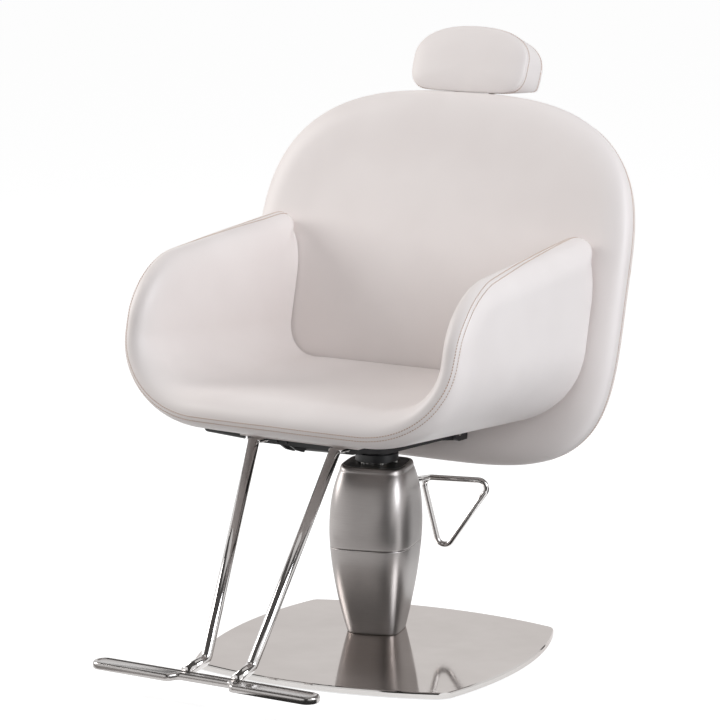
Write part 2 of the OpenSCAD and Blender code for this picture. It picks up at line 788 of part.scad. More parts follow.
module hub_nuts() {
    color(chrome)
        for (sx = [-1, 1], sy = [-1, 1])
            translate([sx * hub_bolt_pitch, sy * hub_bolt_pitch, plate_z + plate_t]) nut(hub_head_d, nut_h);
}

// Seat frame

module box_span(x0, x1, y0, y1, z0, z1) {
    translate([x0, y0, z0]) cube([x1 - x0, y1 - y0, z1 - z0]);
}

under_rise = seat_rise + (1 - seat_front_share) * seat_pad / 2;
rake_y = tub_rear_y(0);
rake = atan(under_rise / (seat_ahead + rake_y));

// Places children that lie square to the seat board, which slopes up to the front
module on_rake() {
    translate([0, rake_y, rail_top])
        rotate([-rake, 0, 0])
            translate([0, -rake_y, -rail_top]) children();
}
function raked(y) = rail_top + (rake_y - y) * tan(rake);

module rail(x) {
    difference() {
        union() {
            translate([x - rail_t / 2, 0, 0])
                rotate([90, 0, 90])
                    linear_extrude(rail_t)
                        polygon([[rail_tip_y, raked(rail_tip_y)], [rail_tip_y, raked(rail_tip_y) - rail_tip_h],
                            [rail_knee_y, rail_knee_z], [rail_low_y, rail_low_z], [hinge_y, hinge_z - hinge_eye],
                            [hinge_y, raked(hinge_y)]]);
            x_rod(x - rail_t / 2, x + rail_t / 2, hinge_y, hinge_z, 2 * hinge_eye);
        }
        x_rod(x - rail_t, x + rail_t, hinge_y, hinge_z, hinge_pin_d + 2 * bolt_gap);
    }
}

module fork_plate(x) {
    translate([x, 0, 0])
        rotate([90, 0, 90])
            linear_extrude(fork_t)
                polygon([[fork_front_y, raked(fork_front_y)], [fork_front_y, gas_front_z + fork_high],
                    [gas_front_y - 2 * gas_eye_r, gas_front_z - fork_low / 2], [gas_front_y, gas_front_z - fork_low],
                    [gas_front_y + gas_eye_r, gas_front_z - fork_low / 2], [gas_front_y + gas_eye_r, raked(gas_front_y + gas_eye_r)]]);
}

// Places children at the seat board's screws, on the underside of the board
module board_screw_places() {
    for (s = [-1, 1], y = board_screw_ys)
        on_rake() translate([s * (rail_x - board_tab / 2 - rail_t / 4), y, rail_top]) children();
}

module seat_frame() {
    fork_in = eye_w / 2 + fork_gap;
    color(steel_black)
        difference() {
            union() {
                for (s = [-1, 1]) rail(s * rail_x);
                on_rake() box_span(-rail_x, rail_x, cross_y - cross_t / 2, cross_y + cross_t / 2, rail_top - cross_h, rail_top);
                box_span(-rail_x, rail_x, -plate_l / 2, plate_l / 2, plate_z, plate_z + plate_t);
                fork_plate(gas_x - fork_in - fork_t);
                fork_plate(gas_x + fork_in);
                for (s = [-1, 1], y = board_screw_ys)
                    on_rake() box_span(s * rail_x - board_tab * (1 + s) / 2, s * rail_x + board_tab * (1 - s) / 2,
                        y - board_tab / 2, y + board_tab / 2, rail_top - board_tab_t, rail_top);
            }
            hub_bolt_holes(bolt_d + 2 * bolt_gap, plate_z - cut, plate_t + 2 * cut);
            x_rod(gas_x - 2 * fork_in - fork_t, gas_x + 2 * fork_in + fork_t, gas_front_y, gas_front_z, gas_pin_d + 2 * run_gap);
            x_rod(-2 * rail_x, 0, lever_y, lever_z, lever_d + 2 * run_gap);
            board_screw_places()
                translate([0, 0, -board_tab_t - cut]) cylinder(d = board_screw_d + 2 * bolt_gap, h = board_tab_t + 2 * cut, $fn = fine / 2);
        }
}

module foot_bolt_places() {
    for (s = [-1, 1], y = foot_bolt_in)
        on_rake() translate([s * foot_top_x, -foot_top_y - tab_t + y, rail_top]) children();
}

module seat_board() {
    color("#3a342e")
        difference() {
            on_rake() box_span(-board_w / 2, board_w / 2, board_front_y, board_rear_y, rail_top, rail_top + board_t);
            board_screw_places()
                translate([0, 0, -cut]) cylinder(d = board_screw_d + 2 * bolt_gap, h = board_screw_in + cut + bolt_gap, $fn = fine / 2);
            foot_bolt_places()
                translate([0, 0, -cut]) cylinder(d = foot_bolt_d + 2 * bolt_gap, h = board_screw_in + cut + bolt_gap, $fn = fine / 2);
        }
}

module board_screws() {
    color(chrome)
        board_screw_places() {
            translate([0, 0, -board_tab_t - board_screw_head_t])
                cylinder(d = board_screw_head, h = board_screw_head_t, $fn = fine / 2);
            translate([0, 0, -board_tab_t - board_screw_head_t])
                cylinder(d = board_screw_d, h = board_screw_head_t + board_tab_t + board_screw_in, $fn = fine / 2);
        }
}

// Tub: its middle layer is a U-shaped section that changes from front to back
// A point of it has a place w around the section, 0 in the middle of the seat and 1 on the arm's crest,
// and a place q from the front edge, 0, to the back, 1

function tub_section(w, q, y) =
    let (half = tub_half + tub_flare * (1 - q),
        flat = half * lerp(flat_front_share, flat_rear_share, q),
        rx = half - flat,
        rz = lerp(corner_front_h, corner_rear_h, q),
        zs = lerp(mid_front_z, mid_rear_z, q),
        zt = lerp(crest_front_z, crest_rear_z, q),
        turn = PI / 2 * sqrt((rx * rx + rz * rz) / 2),
        u = abs(w) * (flat + turn + zt - zs - rz),
        a = 90 * clip((u - flat) / turn),
        x = min(u, flat) + rx * sin(a),
        z = zs + rz * (1 - cos(a)) + max(0, u - flat - turn))
    [sgn(w) * x, y, z];
function tub_front_y(w) = -seat_ahead + front_sweep * pow(abs(w), front_sweep_pow);
function tub_rear_y(w) = let (p = tub_section(w, 1, 0)) back_front(p[0], p[2]) - soft_gap;
function tub_mid(w, q) = tub_section(w, q, lerp(tub_front_y(w), tub_rear_y(w), q));
function tub_normal(w, q) =
    let (e = 0.004, a = tub_mid(w + e, q) - tub_mid(w - e, q), b = tub_mid(w, q + e) - tub_mid(w, q - e))
    vec_unit(cross(a, b));

// The crest ends in a rounding at the front and a smaller one at the back
edge_w = 1 - corner_r / tub_tall_ref;
edge_q = corner_r / tub_depth_ref;
end_w = 1 - rear_corner_r / tub_tall_ref;
end_q = rear_corner_l / tub_depth_ref;
function turn_in(w, w0) = let (t = clip((abs(w) - w0) / (1 - w0))) 1 - sqrt(1 - t * t);
function tub_depth(w, t) = lerp(edge_q * turn_in(w, edge_w), 1 - end_q * turn_in(w, end_w), t);

// Distance of a place from the tub's rolled rim: front edge, crest and their roundings
function turn_dist(a, b, r) = a < r && b < r ? r - norm([r - a, r - b]) : min(a, b);
function rear_dist(a, c, r) = a < r ? (c < r ? r - norm([r - a, r - c]) : a) : min(a, norm([a - r, c]));
function rim_dist(w, q) =
    let (a = (1 - abs(w)) * tub_tall_ref, b = q * tub_depth_ref)
    max(0, turn_dist(a, b, corner_r));
function end_dist(w, q) =
    let (a = (1 - abs(w)) * tub_tall_ref, c = (1 - q) * tub_depth_ref)
    max(0, rear_dist(a, c * rear_corner_r / rear_corner_l, rear_corner_r));
function pad_half(w, q) = lerp(seat_pad, lerp(arm_pad, arm_rear_pad, q), ease((abs(w) - 0.35) / 0.4)) / 2;
function tub_point(w, q, side) =
    let (t = pad_half(w, q),
        r = lerp(seat_rear_round, arm_rear_round, ease((abs(w) - 0.3) / 0.3)),
        rim = min(roll(rim_dist(w, q), nose_reach), roll(end_dist(w, q), rear_corner_r)),
        crown = side > 0 ? seat_crown * ease((0.55 - abs(w)) / 0.35) * rim : 0,
        under = lerp(seat_front_share, 1, max(q, ease((abs(w) - 0.35) / 0.3))),
        h = t * rim * (side < 0 ? under * roll((1 - q) * tub_depth_ref, r) : 1) + crown)
    tub_mid(w, q) + side * h * tub_normal(w, q);

tub_half_ws = concat(section_shares, [for (k = front_turn_shares) 1 - k * corner_r / tub_tall_ref],
    [for (k = rear_turn_shares) 1 - k * rear_corner_r / tub_tall_ref], [1]);
tub_n = len(tub_half_ws) - 1;
tub_ws = [for (i = [-tub_n : tub_n]) sgn(i) * tub_half_ws[abs(i)]];
tub_cols = len(tub_ws);
tub_rows = len(depth_shares);
// The inner and outer surfaces share their points along the rim
function on_rim(i, j) = i == 0 || i == tub_cols - 1 || j == 0 || (j == tub_rows - 1 && abs(tub_ws[i]) > end_w - 0.0001);
function tub_id(i, j, side) = i * tub_rows + j + (side > 0 || on_rim(i, j) ? 0 : tub_cols * tub_rows);
// Two triangles of a cell, split so that each reaches inside the rim
function tub_cell(i, j, side) =
    let (a = tub_id(i, j, side), b = tub_id(i + 1, j, side), c = tub_id(i + 1, j + 1, side), d = tub_id(i, j + 1, side),
        even = (i < tub_n) == (j < tub_rows / 2),
        cell = even ? [[a, d, c], [a, c, b]] : [[a, d, b], [b, d, c]])
    side > 0 ? cell : [for (f = cell) [f[0], f[2], f[1]]];
function whole(f) = f[0] != f[1] && f[1] != f[2] && f[0] != f[2];

module seat_tub() {
    last = tub_rows - 1;
    points = [for (side = [1, -1]) for (w = tub_ws) for (t = depth_shares) tub_point(w, tub_depth(w, t), side)];
    sheets = [for (side = [1, -1]) for (i = [0 : tub_cols - 2]) for (j = [0 : last - 1]) each tub_cell(i, j, side)];
    rear = [for (i = [0 : tub_cols - 2])
        let (a = tub_id(i, last, 1), b = tub_id(i + 1, last, 1), c = tub_id(i, last, -1), d = tub_id(i + 1, last, -1))
        each [[b, a, c], [b, c, d]]];
    color(vinyl) polyhedron(points, [for (f = concat(sheets, rear)) if (whole(f)) f], convexity = 8);
}

// Footrest

module footrest_tube(s) {
    top = [s * foot_top_x, -foot_top_y, raked(-foot_top_y) - tab_t / 2];
    low = [s * foot_low_x, -foot_low_y, foot_low_z];
    end = [s * foot_bar_x, -foot_bar_ahead, foot_bar_z - foot_bar_t / 2];
    rear = -foot_bar_ahead + foot_bar_d / 2;
    color(chrome)
        difference() {
            union() {
                bent_rod([top + vec_unit(top - low) * foot_tube_d, low, end], foot_tube_d, foot_tube_d);
                on_rake() box_span(s * foot_top_x - tab_w / 2, s * foot_top_x + tab_w / 2, -foot_top_y - tab_t,
                    -foot_top_y - tab_t + tab_l, rail_top - tab_t, rail_top);
            }
            box_span(-foot_bar_w, foot_bar_w, rear - foot_bar_w, rear, 0, 2 * foot_bar_z);
            on_rake() box_span(-foot_bar_w, foot_bar_w, -foot_bar_ahead, 0, rail_top, rail_top + foot_bar_w);
            foot_bolt_places()
                translate([0, 0, -tab_t - cut]) cylinder(d = foot_bolt_d + 2 * bolt_gap, h = tab_t + 2 * cut, $fn = fine / 2);
        }
}

module footrest_tube_left() {
    footrest_tube(1);
}

module footrest_tube_right() {
    footrest_tube(-1);
}

// Foot bar: a flat tread, deeper under each foot than at its middle
module foot_bar() {
    half = foot_bar_w / 2;
    step = foot_bridge_w / 2;
    r = foot_bar_d / 2;
    front = -foot_bar_ahead - r;
    inner = -foot_bar_ahead + r - foot_bridge_d;
    color(chrome)
        translate([0, 0, foot_bar_z - foot_bar_t])
            linear_extrude(foot_bar_t)
                difference() {
                    union() {
                        for (s = [-1, 1])
                            translate([s * (half - r), -foot_bar_ahead]) circle(r = r, $fn = fine);
                        translate([-(half - r), front]) square([2 * (half - r), 2 * r]);
                    }
                    polygon([[-step, front - r], [-step, front], [-step + foot_ease, inner], [step - foot_ease, inner],
                        [step, front], [step, front - r]]);
                }
}

module footrest_bolts() {
    color(chrome)
        foot_bolt_places() {
            translate([0, 0, -tab_t - foot_head_t]) cylinder(d = hub_head_d, h = foot_head_t, $fn = fine / 2);
            translate([0, 0, -tab_t - foot_head_t]) cylinder(d = foot_bolt_d, h = foot_head_t + tab_t + board_screw_in, $fn = fine / 2);
        }
}

// Recline hinge and gas spring

lug_x = rail_x + rail_t / 2 + lug_gap;           // inner face of a back lug

module hinge_pin(s) {
    a = rail_x - rail_t / 2 - pin_head_t;
    b = lug_x + lug_t + lug_gap;
    color(chrome) {
        x_rod(s > 0 ? a : -b, s > 0 ? b : -a, hinge_y, hinge_z, hinge_pin_d);
        x_rod(s > 0 ? a : -a - pin_head_t, s > 0 ? a + pin_head_t : -a, hinge_y, hinge_z, 1.5 * hinge_pin_d);
    }
}

module hinge_pin_left() {
    hinge_pin(1);
}

module hinge_pin_right() {
    hinge_pin(-1);
}

module gas_pin_front() {
    half = eye_w / 2 + fork_gap + fork_t + 1;
    color(chrome) {
        x_rod(gas_x - half - pin_head_t, gas_x + half, gas_front_y, gas_front_z, gas_pin_d);
        x_rod(gas_x + half, gas_x + half + pin_head_t, gas_front_y, gas_front_z, pin_head_d);
        x_rod(gas_x - half - 2 * pin_head_t, gas_x - half - pin_head_t, gas_front_y, gas_front_z, pin_head_d);
    }
}

// Places a child whose own Y runs along the gas spring from its front pin
module gas_place() {
    translate([gas_x, gas_front_y, gas_front_z]) rotate([-gas_tilt, 0, 0]) children();
}

module gas_cylinder() {
    color(steel_black)
        gas_place()
            difference() {
                union() {
                    rotate([0, 90, 0]) translate([0, 0, -eye_w / 2]) cylinder(r = gas_eye_r, h = eye_w, $fn = fine);
                    translate([0, gas_eye_r / 2, 0]) rotate([-90, 0, 0]) cylinder(d = eye_w, h = gas_eye_r, $fn = fine);
                    translate([0, gas_eye_r + gap_small, 0])
                        rotate([-90, 0, 0]) cylinder(d = gas_d, h = gas_body_l - gas_eye_r - gap_small, $fn = fine);
                    translate([0, -gas_head_l, 0]) rotate([-90, 0, 0]) cylinder(d = eye_w, h = gas_head_l, $fn = fine);
                }
                rotate([0, 90, 0]) translate([0, 0, -eye_w]) cylinder(d = gas_pin_d + 2 * run_gap, h = 2 * eye_w, $fn = fine);
                translate([0, gas_body_l - gas_rod_in - gas_d / 2, 0])
                    rotate([-90, 0, 0]) cylinder(d = gas_bore_d, h = gas_rod_in, $fn = fine);
                translate([0, gas_body_l - gas_d, 0])
                    rotate([-90, 0, 0]) cylinder(d = gas_rod_d + 2 * run_gap, h = gas_d + cut, $fn = fine);
            }
}

module gas_rod() {
    color(chrome)
        gas_place()
            difference() {
                union() {
                    translate([0, gas_body_l - gas_rod_in / 2, 0])
                        rotate([-90, 0, 0]) cylinder(d = gas_rod_d, h = gas_len - gas_body_l + gas_rod_in / 2 - rod_eye_r + gap_small, $fn = fine);
                    translate([-rod_eye_w / 2, gas_len, 0])
                        rotate([0, 90, 0]) cylinder(r = rod_eye_r, h = rod_eye_w, $fn = fine);
                }
                translate([-rod_eye_w, gas_len, 0])
                    rotate([0, 90, 0]) cylinder(d = rod_eye_hole, h = 2 * rod_eye_w, $fn = fine);
            }
}

// Release lever

module release_lever() {
    bend = [lever_bend, lever_y, lever_z];
    color(chrome) {
        x_rod(lever_bend + 2 * lever_d, lever_inner, lever_y, lever_z, lever_d);
        bent_rod([[lever_bend + 2 * lever_d + cut, lever_y, lever_z], bend, lever_tip], lever_d, lever_neck);
        translate([gas_x - lever_cam / 2, 0, 0])
            rotate([90, 0, 90])
                linear_extrude(lever_cam)
                    polygon([[lever_y - lever_d / 2, lever_z], [lever_y, lever_z - lever_d],
                        [lever_y + 1.5 * lever_d, lever_z - lever_d], [lever_y + lever_d, lever_z + lever_d / 2]]);
    }
}

// Round-ended rod from a, where the end is round, to b
module knob_rod(a, b, d) {
    v = b - a;
    r = d / 2;
    translate(a)
        rotate([0, acos(v[2] / norm(v)), atan2(v[1], v[0])])
            rotate_extrude($fn = fine)
                polygon(concat([for (k = [0 : 6]) let (t = 15 * k) [r * sin(t), r - r * cos(t)]], [[r, norm(v)], [0, norm(v)]]));
}

module release_grip() {
    bend = [lever_bend, lever_y, lever_z];
    u = vec_unit(bend - lever_tip);
    color("#2b2b2d")
        difference() {
            knob_rod(lever_tip - u * lever_d, lever_tip + u * grip_l, grip_d);
            rod_between(lever_tip, lever_tip + u * 2 * grip_l, lever_neck + 2 * run_gap);
        }
}

// Back

// Heights where every layer of the back bends, between z0 and z1
function stations(z0, z1) = concat([z0],
    [for (k = [0 : ceil((back_low + back_up) / back_step)])
        let (z = back_z + k * back_step) if (z > z0 + 1 && z < z1 - 1) z], [z1]);
// Curved slab between two offsets and two heights, from x0 to x1
module back_slab(x0, x1, z0, z1, off0, off1) {
    zs = stations(z0, z1);
    near = [for (z = zs) let (p = back_point(0, z, off0)) [p[1], p[2]]];
    far = [for (k = [len(zs) - 1 : -1 : 0]) let (p = back_point(0, zs[k], off1)) [p[1], p[2]]];
    translate([x0, 0, 0]) rotate([90, 0, 90]) linear_extrude(x1 - x0) polygon(concat(near, far));
}
module whole_slab(off0, off1) {
    back_slab(-back_w, back_w, back_z - back_step, back_mid_z + back_up + back_step, off0, off1);
}
// Prism of the back's outline, drawn in by d
module back_outline(d) {
    translate([0, back_low + back_up, 0])
        rotate([90, 0, 0])
            linear_extrude(back_low + back_up)
                polygon([for (k = [0 : back_sides - 1])
                    let (p = shield_at(k * 360 / back_sides, back_half, back_up, back_low, back_up_n, back_low_n),
                        r = 1 - d / shield_reach(p, back_half, back_up, back_low, back_up_n, back_low_n))
                    [p[0] * r, back_mid_z + p[1] * r]]);
}

module back_lug(x0) {
    root = back_point(0, hinge_z - hinge_eye, bar_front + 1);
    head = back_point(0, hinge_z + 2 * hinge_eye, bar_front + 1);
    translate([x0, 0, 0])
        rotate([90, 0, 90])
            linear_extrude(lug_t)
                polygon([[hinge_y, hinge_z - hinge_eye], [root[1], root[2]], [head[1], head[2]], [hinge_y, hinge_z + hinge_eye]]);
    x_rod(x0, x0 + lug_t, hinge_y, hinge_z, 2 * hinge_eye);
}

crank_x = gas_x - rod_eye_w / 2 - fork_gap - crank_t;
crank_x2 = gas_x + rod_eye_w / 2 + fork_gap;

module crank_plate(x0) {
    low = back_point(0, back_z + bar_low + 2, bar_front + 1);
    high = back_point(0, back_z + bar_low + bar_h - 2, bar_front + 1);
    translate([x0, 0, 0])
        rotate([90, 0, 90])
            linear_extrude(crank_t)
                polygon([[crank_y, crank_z - rod_eye_r + 2], [low[1], low[2]], [high[1], high[2]],
                    [crank_y - 2, crank_z + rod_eye_r - 2]]);
    x_rod(x0, x0 + crank_t, crank_y, crank_z, 2 * rod_eye_r - 2);
}

module back_frame() {
    color(steel_black)
        difference() {
            union() {
                for (s = [-1, 1]) {
                    back_slab(s * upright_x - bar_w / 2, s * upright_x + bar_w / 2, back_z + upright_low,
                        back_z + upright_high, bar_front, bar_back);
                    back_lug(s > 0 ? lug_x : -lug_x - lug_t);
                }
                for (z = [bar_low, bar_high])
                    back_slab(-upright_x, upright_x, back_z + z, back_z + z + bar_h, bar_front, bar_back);
                crank_plate(crank_x);
                crank_plate(crank_x2);
            }
            x_rod(-2 * upright_x, 2 * upright_x, hinge_y, hinge_z, hinge_pin_d + 2 * run_gap);
            x_rod(gas_x - upright_x / 2, gas_x + upright_x / 2, crank_y, crank_z, gas_pin_d + 2 * bolt_gap);
            back_screw_places() {
                cylinder(d = back_screw_d + 2 * bolt_gap, h = 2 * bar_back, center = true, $fn = fine / 2);
                translate([0, 0, -back_screw_sink]) cylinder(d = back_screw_head + 2 * bolt_gap, h = bar_back, $fn = fine / 2);
            }
        }
}

// Places children at the screws that hold the bars to the board, on the bars' rear face
module back_screw_places() {
    for (s = [-1, 1], z = back_screw_at) {
        p = back_point(s * upright_x, back_z + z, bar_back);
        translate(p) rotate([-90 - back_lean(back_z + z), 0, 0]) children();
    }
}

module back_screws() {
    color(chrome)
        back_screw_places() {
            translate([0, 0, -back_screw_sink]) cylinder(d = back_screw_head, h = back_screw_head_t, $fn = fine / 2);
            translate([0, 0, -bar_back]) cylinder(d = back_screw_d, h = bar_back - back_screw_sink + seat_gap, $fn = fine / 2);
        }
}

module slots() {
    for (s = [-1, 1])
        box_span(s > 0 ? lug_x - 1 : -lug_x - lug_t - 1, s > 0 ? lug_x + lug_t + 1 : -lug_x + 1,
            hinge_y, 2 * back_foot_y, hinge_z - hinge_eye - 2, hinge_z + 2 * hinge_eye + 2);
    box_span(crank_x - 1, crank_x + crank_t + 1, hinge_y - rod_eye_r, 2 * back_foot_y - hinge_y, back_z - rod_eye_r,
        back_z + bar_low + bar_h + 2);
    box_span(crank_x2 - 1, crank_x2 + crank_t + 1, hinge_y - rod_eye_r, 2 * back_foot_y - hinge_y, back_z - rod_eye_r,
        back_z + bar_low + bar_h + 2);
}

module back_board() {
    color("#b99a6b")
        difference() {
            intersection() {
                whole_slab(back_board_front, back_board_back);
                back_outline(board_in);
            }
            slots();
            back_screw_places() cylinder(d = back_screw_d + 2 * bolt_gap, h = 4 * bar_back, center = true, $fn = fine / 2);
        }
}

// Steps of the cushion from the middle of its face, round its rim and over its back
cushion_insets = [230, 150, 90, 56, 36, 20, 9, 2.5];

module back_cushion() {
    front = [for (d = cushion_insets) [d, front_off(d)]];
    behind = seam_off + back_front_pad;
    color(vinyl)
        difference() {
            back_layer(concat(front, [[0, 0], [edge_in, seam_off], [edge_in, behind], [recess_d + 120, behind]]),
                front_off(2 * cushion_insets[0]), behind);
            whole_slab(seam_off, 3 * behind);
            intersection() {
                whole_slab(recess_off, 2 * behind);
                back_outline(recess_d);
            }
            slots();
        }
}

module back_shell() {
    lip = seam_off + seat_gap;
    color("#dcd5d1")
        difference() {
            back_layer([[200, 0], [60, 0], [edge_in + 1, 0], [edge_in + 1, lip], [5, lerp(lip, back_rear_pad, 0.25)],
                [11, lerp(lip, back_rear_pad, 0.6)], [24, lerp(lip, back_rear_pad, 0.9)], [44, back_rear_pad],
                [140, back_rear_pad + back_crown]], 0, back_rear_pad + back_crown);
            whole_slab(-back_rear_pad, lip);
            for (s = [-1, 1])
                post_place(s) translate([0, 0, -post_low - 2])
                    cylinder(d = post_d + 2 * (guide_wall + guide_gap), h = 2 * guide_low, $fn = fine);
        }
}

module crank_pin() {
    a = crank_x - 2;
    b = crank_x2 + crank_t + 2;
    color(chrome) {
        x_rod(a, b, crank_y, crank_z, gas_pin_d);
        x_rod(a - pin_head_t, a, crank_y, crank_z, pin_head_d);
    }
}

// Headrest

back_top_z = back_z + back_low + back_up;
head_y = back_line(back_top_z) + head_behind;
head_z = back_top_z + head_lift;
head_lean = back_lean(back_top_z) - head_upright;

module head_place() {
    translate([0, head_y, head_z]) rotate([-head_lean, 0, 0]) children();
}

module post_place(s) {
    head_place() translate([s * post_x, post_back, 0]) children();
}

module headrest_guides() {
    color("#8d8f93")
        for (s = [-1, 1])
            post_place(s)
                translate([0, 0, -guide_low])
                    difference() {
                        cylinder(d = post_d + 2 * guide_wall, h = guide_l, $fn = fine);
                        translate([0, 0, -cut]) cylinder(d = post_d + 2 * run_gap, h = guide_l + 2 * cut, $fn = fine);
                    }
}

module headrest_posts() {
    color(chrome)
        for (s = [-1, 1])
            post_place(s)
                translate([0, 0, -post_low]) cylinder(d = post_d, h = post_low + head_plate_h / 2 - 2, $fn = fine);
}

module headrest_plate() {
    color("#55565a")
        head_place()
            box_span(-head_plate_w / 2, head_plate_w / 2, post_back - post_d / 2 - head_plate_t,
                post_back - post_d / 2, -head_plate_h / 2, head_plate_h / 2);
}

head_up = head_h * head_up_share;
head_low = head_h - head_up;

function head_ring(d, y) = [for (k = [0 : head_sides - 1])
    let (p = shield_at(k * 360 / head_sides, head_w / 2, head_up, head_low, head_up_n, head_low_n),
        r = 1 - d / shield_reach(p, head_w / 2, head_up, head_low, head_up_n, head_low_n))
    [p[0] * r, y, p[1] * r]];

module headrest_cushion() {
    f = head_d / 2;
    color(vinyl)
        difference() {
            head_place()
                ringed([head_ring(40, -f - head_crown * 0.93), head_ring(20, -f - head_crown * 0.7),
                    head_ring(7, -f - head_crown * 0.32), head_ring(0, -f), head_ring(-1.5, 0), head_ring(0, f),
                    head_ring(7, f + head_crown * 0.32), head_ring(20, f + head_crown * 0.7),
                    head_ring(40, f + head_crown * 0.93)], [0, -f - head_crown, 0], [0, f + head_crown, 0]);
            for (s = [-1, 1])
                post_place(s) translate([0, 0, -2 * head_h])
                    cylinder(d = post_d + 2 * guide_gap, h = 2 * head_h + head_plate_h / 2, $fn = fine);
            head_place()
                box_span(-head_plate_w / 2 - guide_gap, head_plate_w / 2 + guide_gap,
                    post_back - post_d / 2 - head_plate_t - guide_gap, post_back,
                    -head_plate_h / 2 - guide_gap, head_plate_h / 2 + guide_gap);
            box_span(-head_w, head_w, 0, 2 * head_y, head_z - 2 * head_h, back_top_z + head_clear);
        }
}

base_pad();
base_plate();
base_cover();
pump_body();
pump_bolts();
column_cover_lower();
column_cover_upper();
column_cap();
pedal_pin();
pedal();
pump_plunger();
lift_ram();
thrust_washer();
swivel_hub();
bearing_collar();
collar_screws();
hub_bolts();
hub_nuts();
seat_frame();
seat_board();
board_screws();
seat_tub();
footrest_tube_left();
footrest_tube_right();
foot_bar();
footrest_bolts();
hinge_pin_left();
hinge_pin_right();
gas_pin_front();
gas_cylinder();
gas_rod();
release_lever();
release_grip();
back_frame();
back_board();
back_cushion();
back_shell();
back_screws();
crank_pin();
headrest_guides();
headrest_posts();
headrest_plate();
headrest_cushion();
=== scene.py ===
import math

import bmesh
import bpy
import numpy as np
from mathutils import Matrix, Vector


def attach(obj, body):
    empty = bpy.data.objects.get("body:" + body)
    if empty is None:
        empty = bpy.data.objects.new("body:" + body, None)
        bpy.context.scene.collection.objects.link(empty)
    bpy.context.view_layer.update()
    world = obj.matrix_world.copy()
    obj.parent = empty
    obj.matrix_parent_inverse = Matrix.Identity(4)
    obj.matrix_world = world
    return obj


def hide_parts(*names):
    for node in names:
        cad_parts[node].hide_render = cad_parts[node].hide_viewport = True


# Threading chair: padded tub, reclining back and headrest on a foot-pumped column.
# Metres, +Z up, the sitter faces -Y, the origin is on the floor on the swivel axis.

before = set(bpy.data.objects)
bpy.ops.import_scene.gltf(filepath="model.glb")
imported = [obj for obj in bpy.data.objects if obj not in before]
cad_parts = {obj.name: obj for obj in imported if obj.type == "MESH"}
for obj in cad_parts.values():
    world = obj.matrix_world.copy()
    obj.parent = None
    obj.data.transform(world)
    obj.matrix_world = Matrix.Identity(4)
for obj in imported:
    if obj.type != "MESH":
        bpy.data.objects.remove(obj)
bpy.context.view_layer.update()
print("stage: frame loaded")


def ease(t):
    # smooth step: c*c*(3 - 2c), c clipped to 0..1
    c = np.clip(t, 0, 1)
    return c * c * (3 - 2 * c)


def lerp(a, b, t):
    return a + (b - a) * t


def unit(v):
    v = np.asarray(v, float)
    return v / np.linalg.norm(v, axis=-1, keepdims=True)


def noseShare(d, reach, power=2.0):
    # share of the full thickness at distance d from a rolled rim: (1 - (1 - d/reach)^p)^(1/p)
    c = np.clip(1 - d / reach, 0, 1)
    return np.maximum(1 - c ** power, 0) ** (1 / power)


def sup(c, n):
    # superellipse coordinate: sign(c) * |c|^(2/n)
    return np.sign(c) * np.abs(c) ** (2 / n)


def gridFaces(rows, cols, loopCols=False, loopRows=False):
    # quads of a rows x cols grid of points, numbered row by row
    r = np.arange(rows if loopRows else rows - 1)
    c = np.arange(cols if loopCols else cols - 1)
    r, c = np.meshgrid(r, c, indexing="ij")
    rn, cn = (r + 1) % rows, (c + 1) % cols
    return np.stack([r * cols + c, r * cols + cn, rn * cols + cn, rn * cols + c], -1).reshape(-1, 4)


def placed(name, data):
    thing = bpy.data.objects.new(name, data)
    bpy.context.scene.collection.objects.link(thing)
    return thing


def makeMesh(name, points, faces, material):
    mesh = bpy.data.meshes.new(name)
    points = np.asarray(points, float).reshape(-1, 3)
    mesh.from_pydata(points.tolist(), [], [list(map(int, f)) for f in faces])
    mesh.materials.append(material)
    return mesh


def makePiece(name, points, faces, material, body, replaced=()):
    mesh = makeMesh(name, points, faces, material)
    mesh.polygons.foreach_set("use_smooth", np.ones(len(mesh.polygons), bool))
    mesh.update()
    piece = placed(name, mesh)
    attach(piece, body)
    if replaced:
        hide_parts(*replaced)
    return piece


def skin(rings, firstTip, lastTip):
    # skin through a stack of closed rings, shut at each end by a fan to a tip point
    rings = np.asarray(rings, float)
    n, m = rings.shape[:2]
    tips = np.asarray([firstTip, lastTip], float)
    points = np.vstack([rings.reshape(-1, 3), tips])
    i = np.arange(m)
    j = (i + 1) % m
    last = (n - 1) * m
    firstFan = np.stack([j, i, np.full(m, n * m)], -1)
    lastFan = np.stack([last + i, last + j, np.full(m, n * m + 1)], -1)
    return points, gridFaces(n, m, loopCols=True).tolist() + firstFan.tolist() + lastFan.tolist()


def joined(parts):
    # several (points, faces) as one mesh
    points, faces, at = [], [], 0
    for p, f in parts:
        points.append(np.asarray(p, float))
        faces += [[k + at for k in face] for face in f]
        at += len(p)
    return np.vstack(points), faces


def roundedRoute(corners, radius, steps=10, loop=False):
    # straight runs whose corners are arcs: hub + r (e cos t + f sin t)
    corners = [np.asarray(c, float) for c in corners]
    n = len(corners)
    radii = np.broadcast_to(radius, n)
    points, along = [], []
    if not loop:
        points.append(corners[0])
        along.append(unit(corners[1] - corners[0]))
    for k in range(n) if loop else range(1, n - 1):
        a, p, b = corners[k - 1], corners[k], corners[(k + 1) % n]
        u, v, r = unit(a - p), unit(b - p), radii[k]
        half = math.acos(float(u @ v)) / 2
        hub = p + unit(u + v) * r / math.sin(half)
        e = unit(p + u * r / math.tan(half) - hub)
        f = -np.cross(unit(np.cross(u, v)), e)
        t = np.linspace(0, math.pi - 2 * half, steps)[:, None]
        points += list(hub + r * (e * np.cos(t) + f * np.sin(t)))
        along += list(f * np.cos(t) - e * np.sin(t))
    if not loop:
        points.append(corners[-1])
        along.append(unit(corners[-1] - corners[-2]))
    return np.array(points), np.array(along)


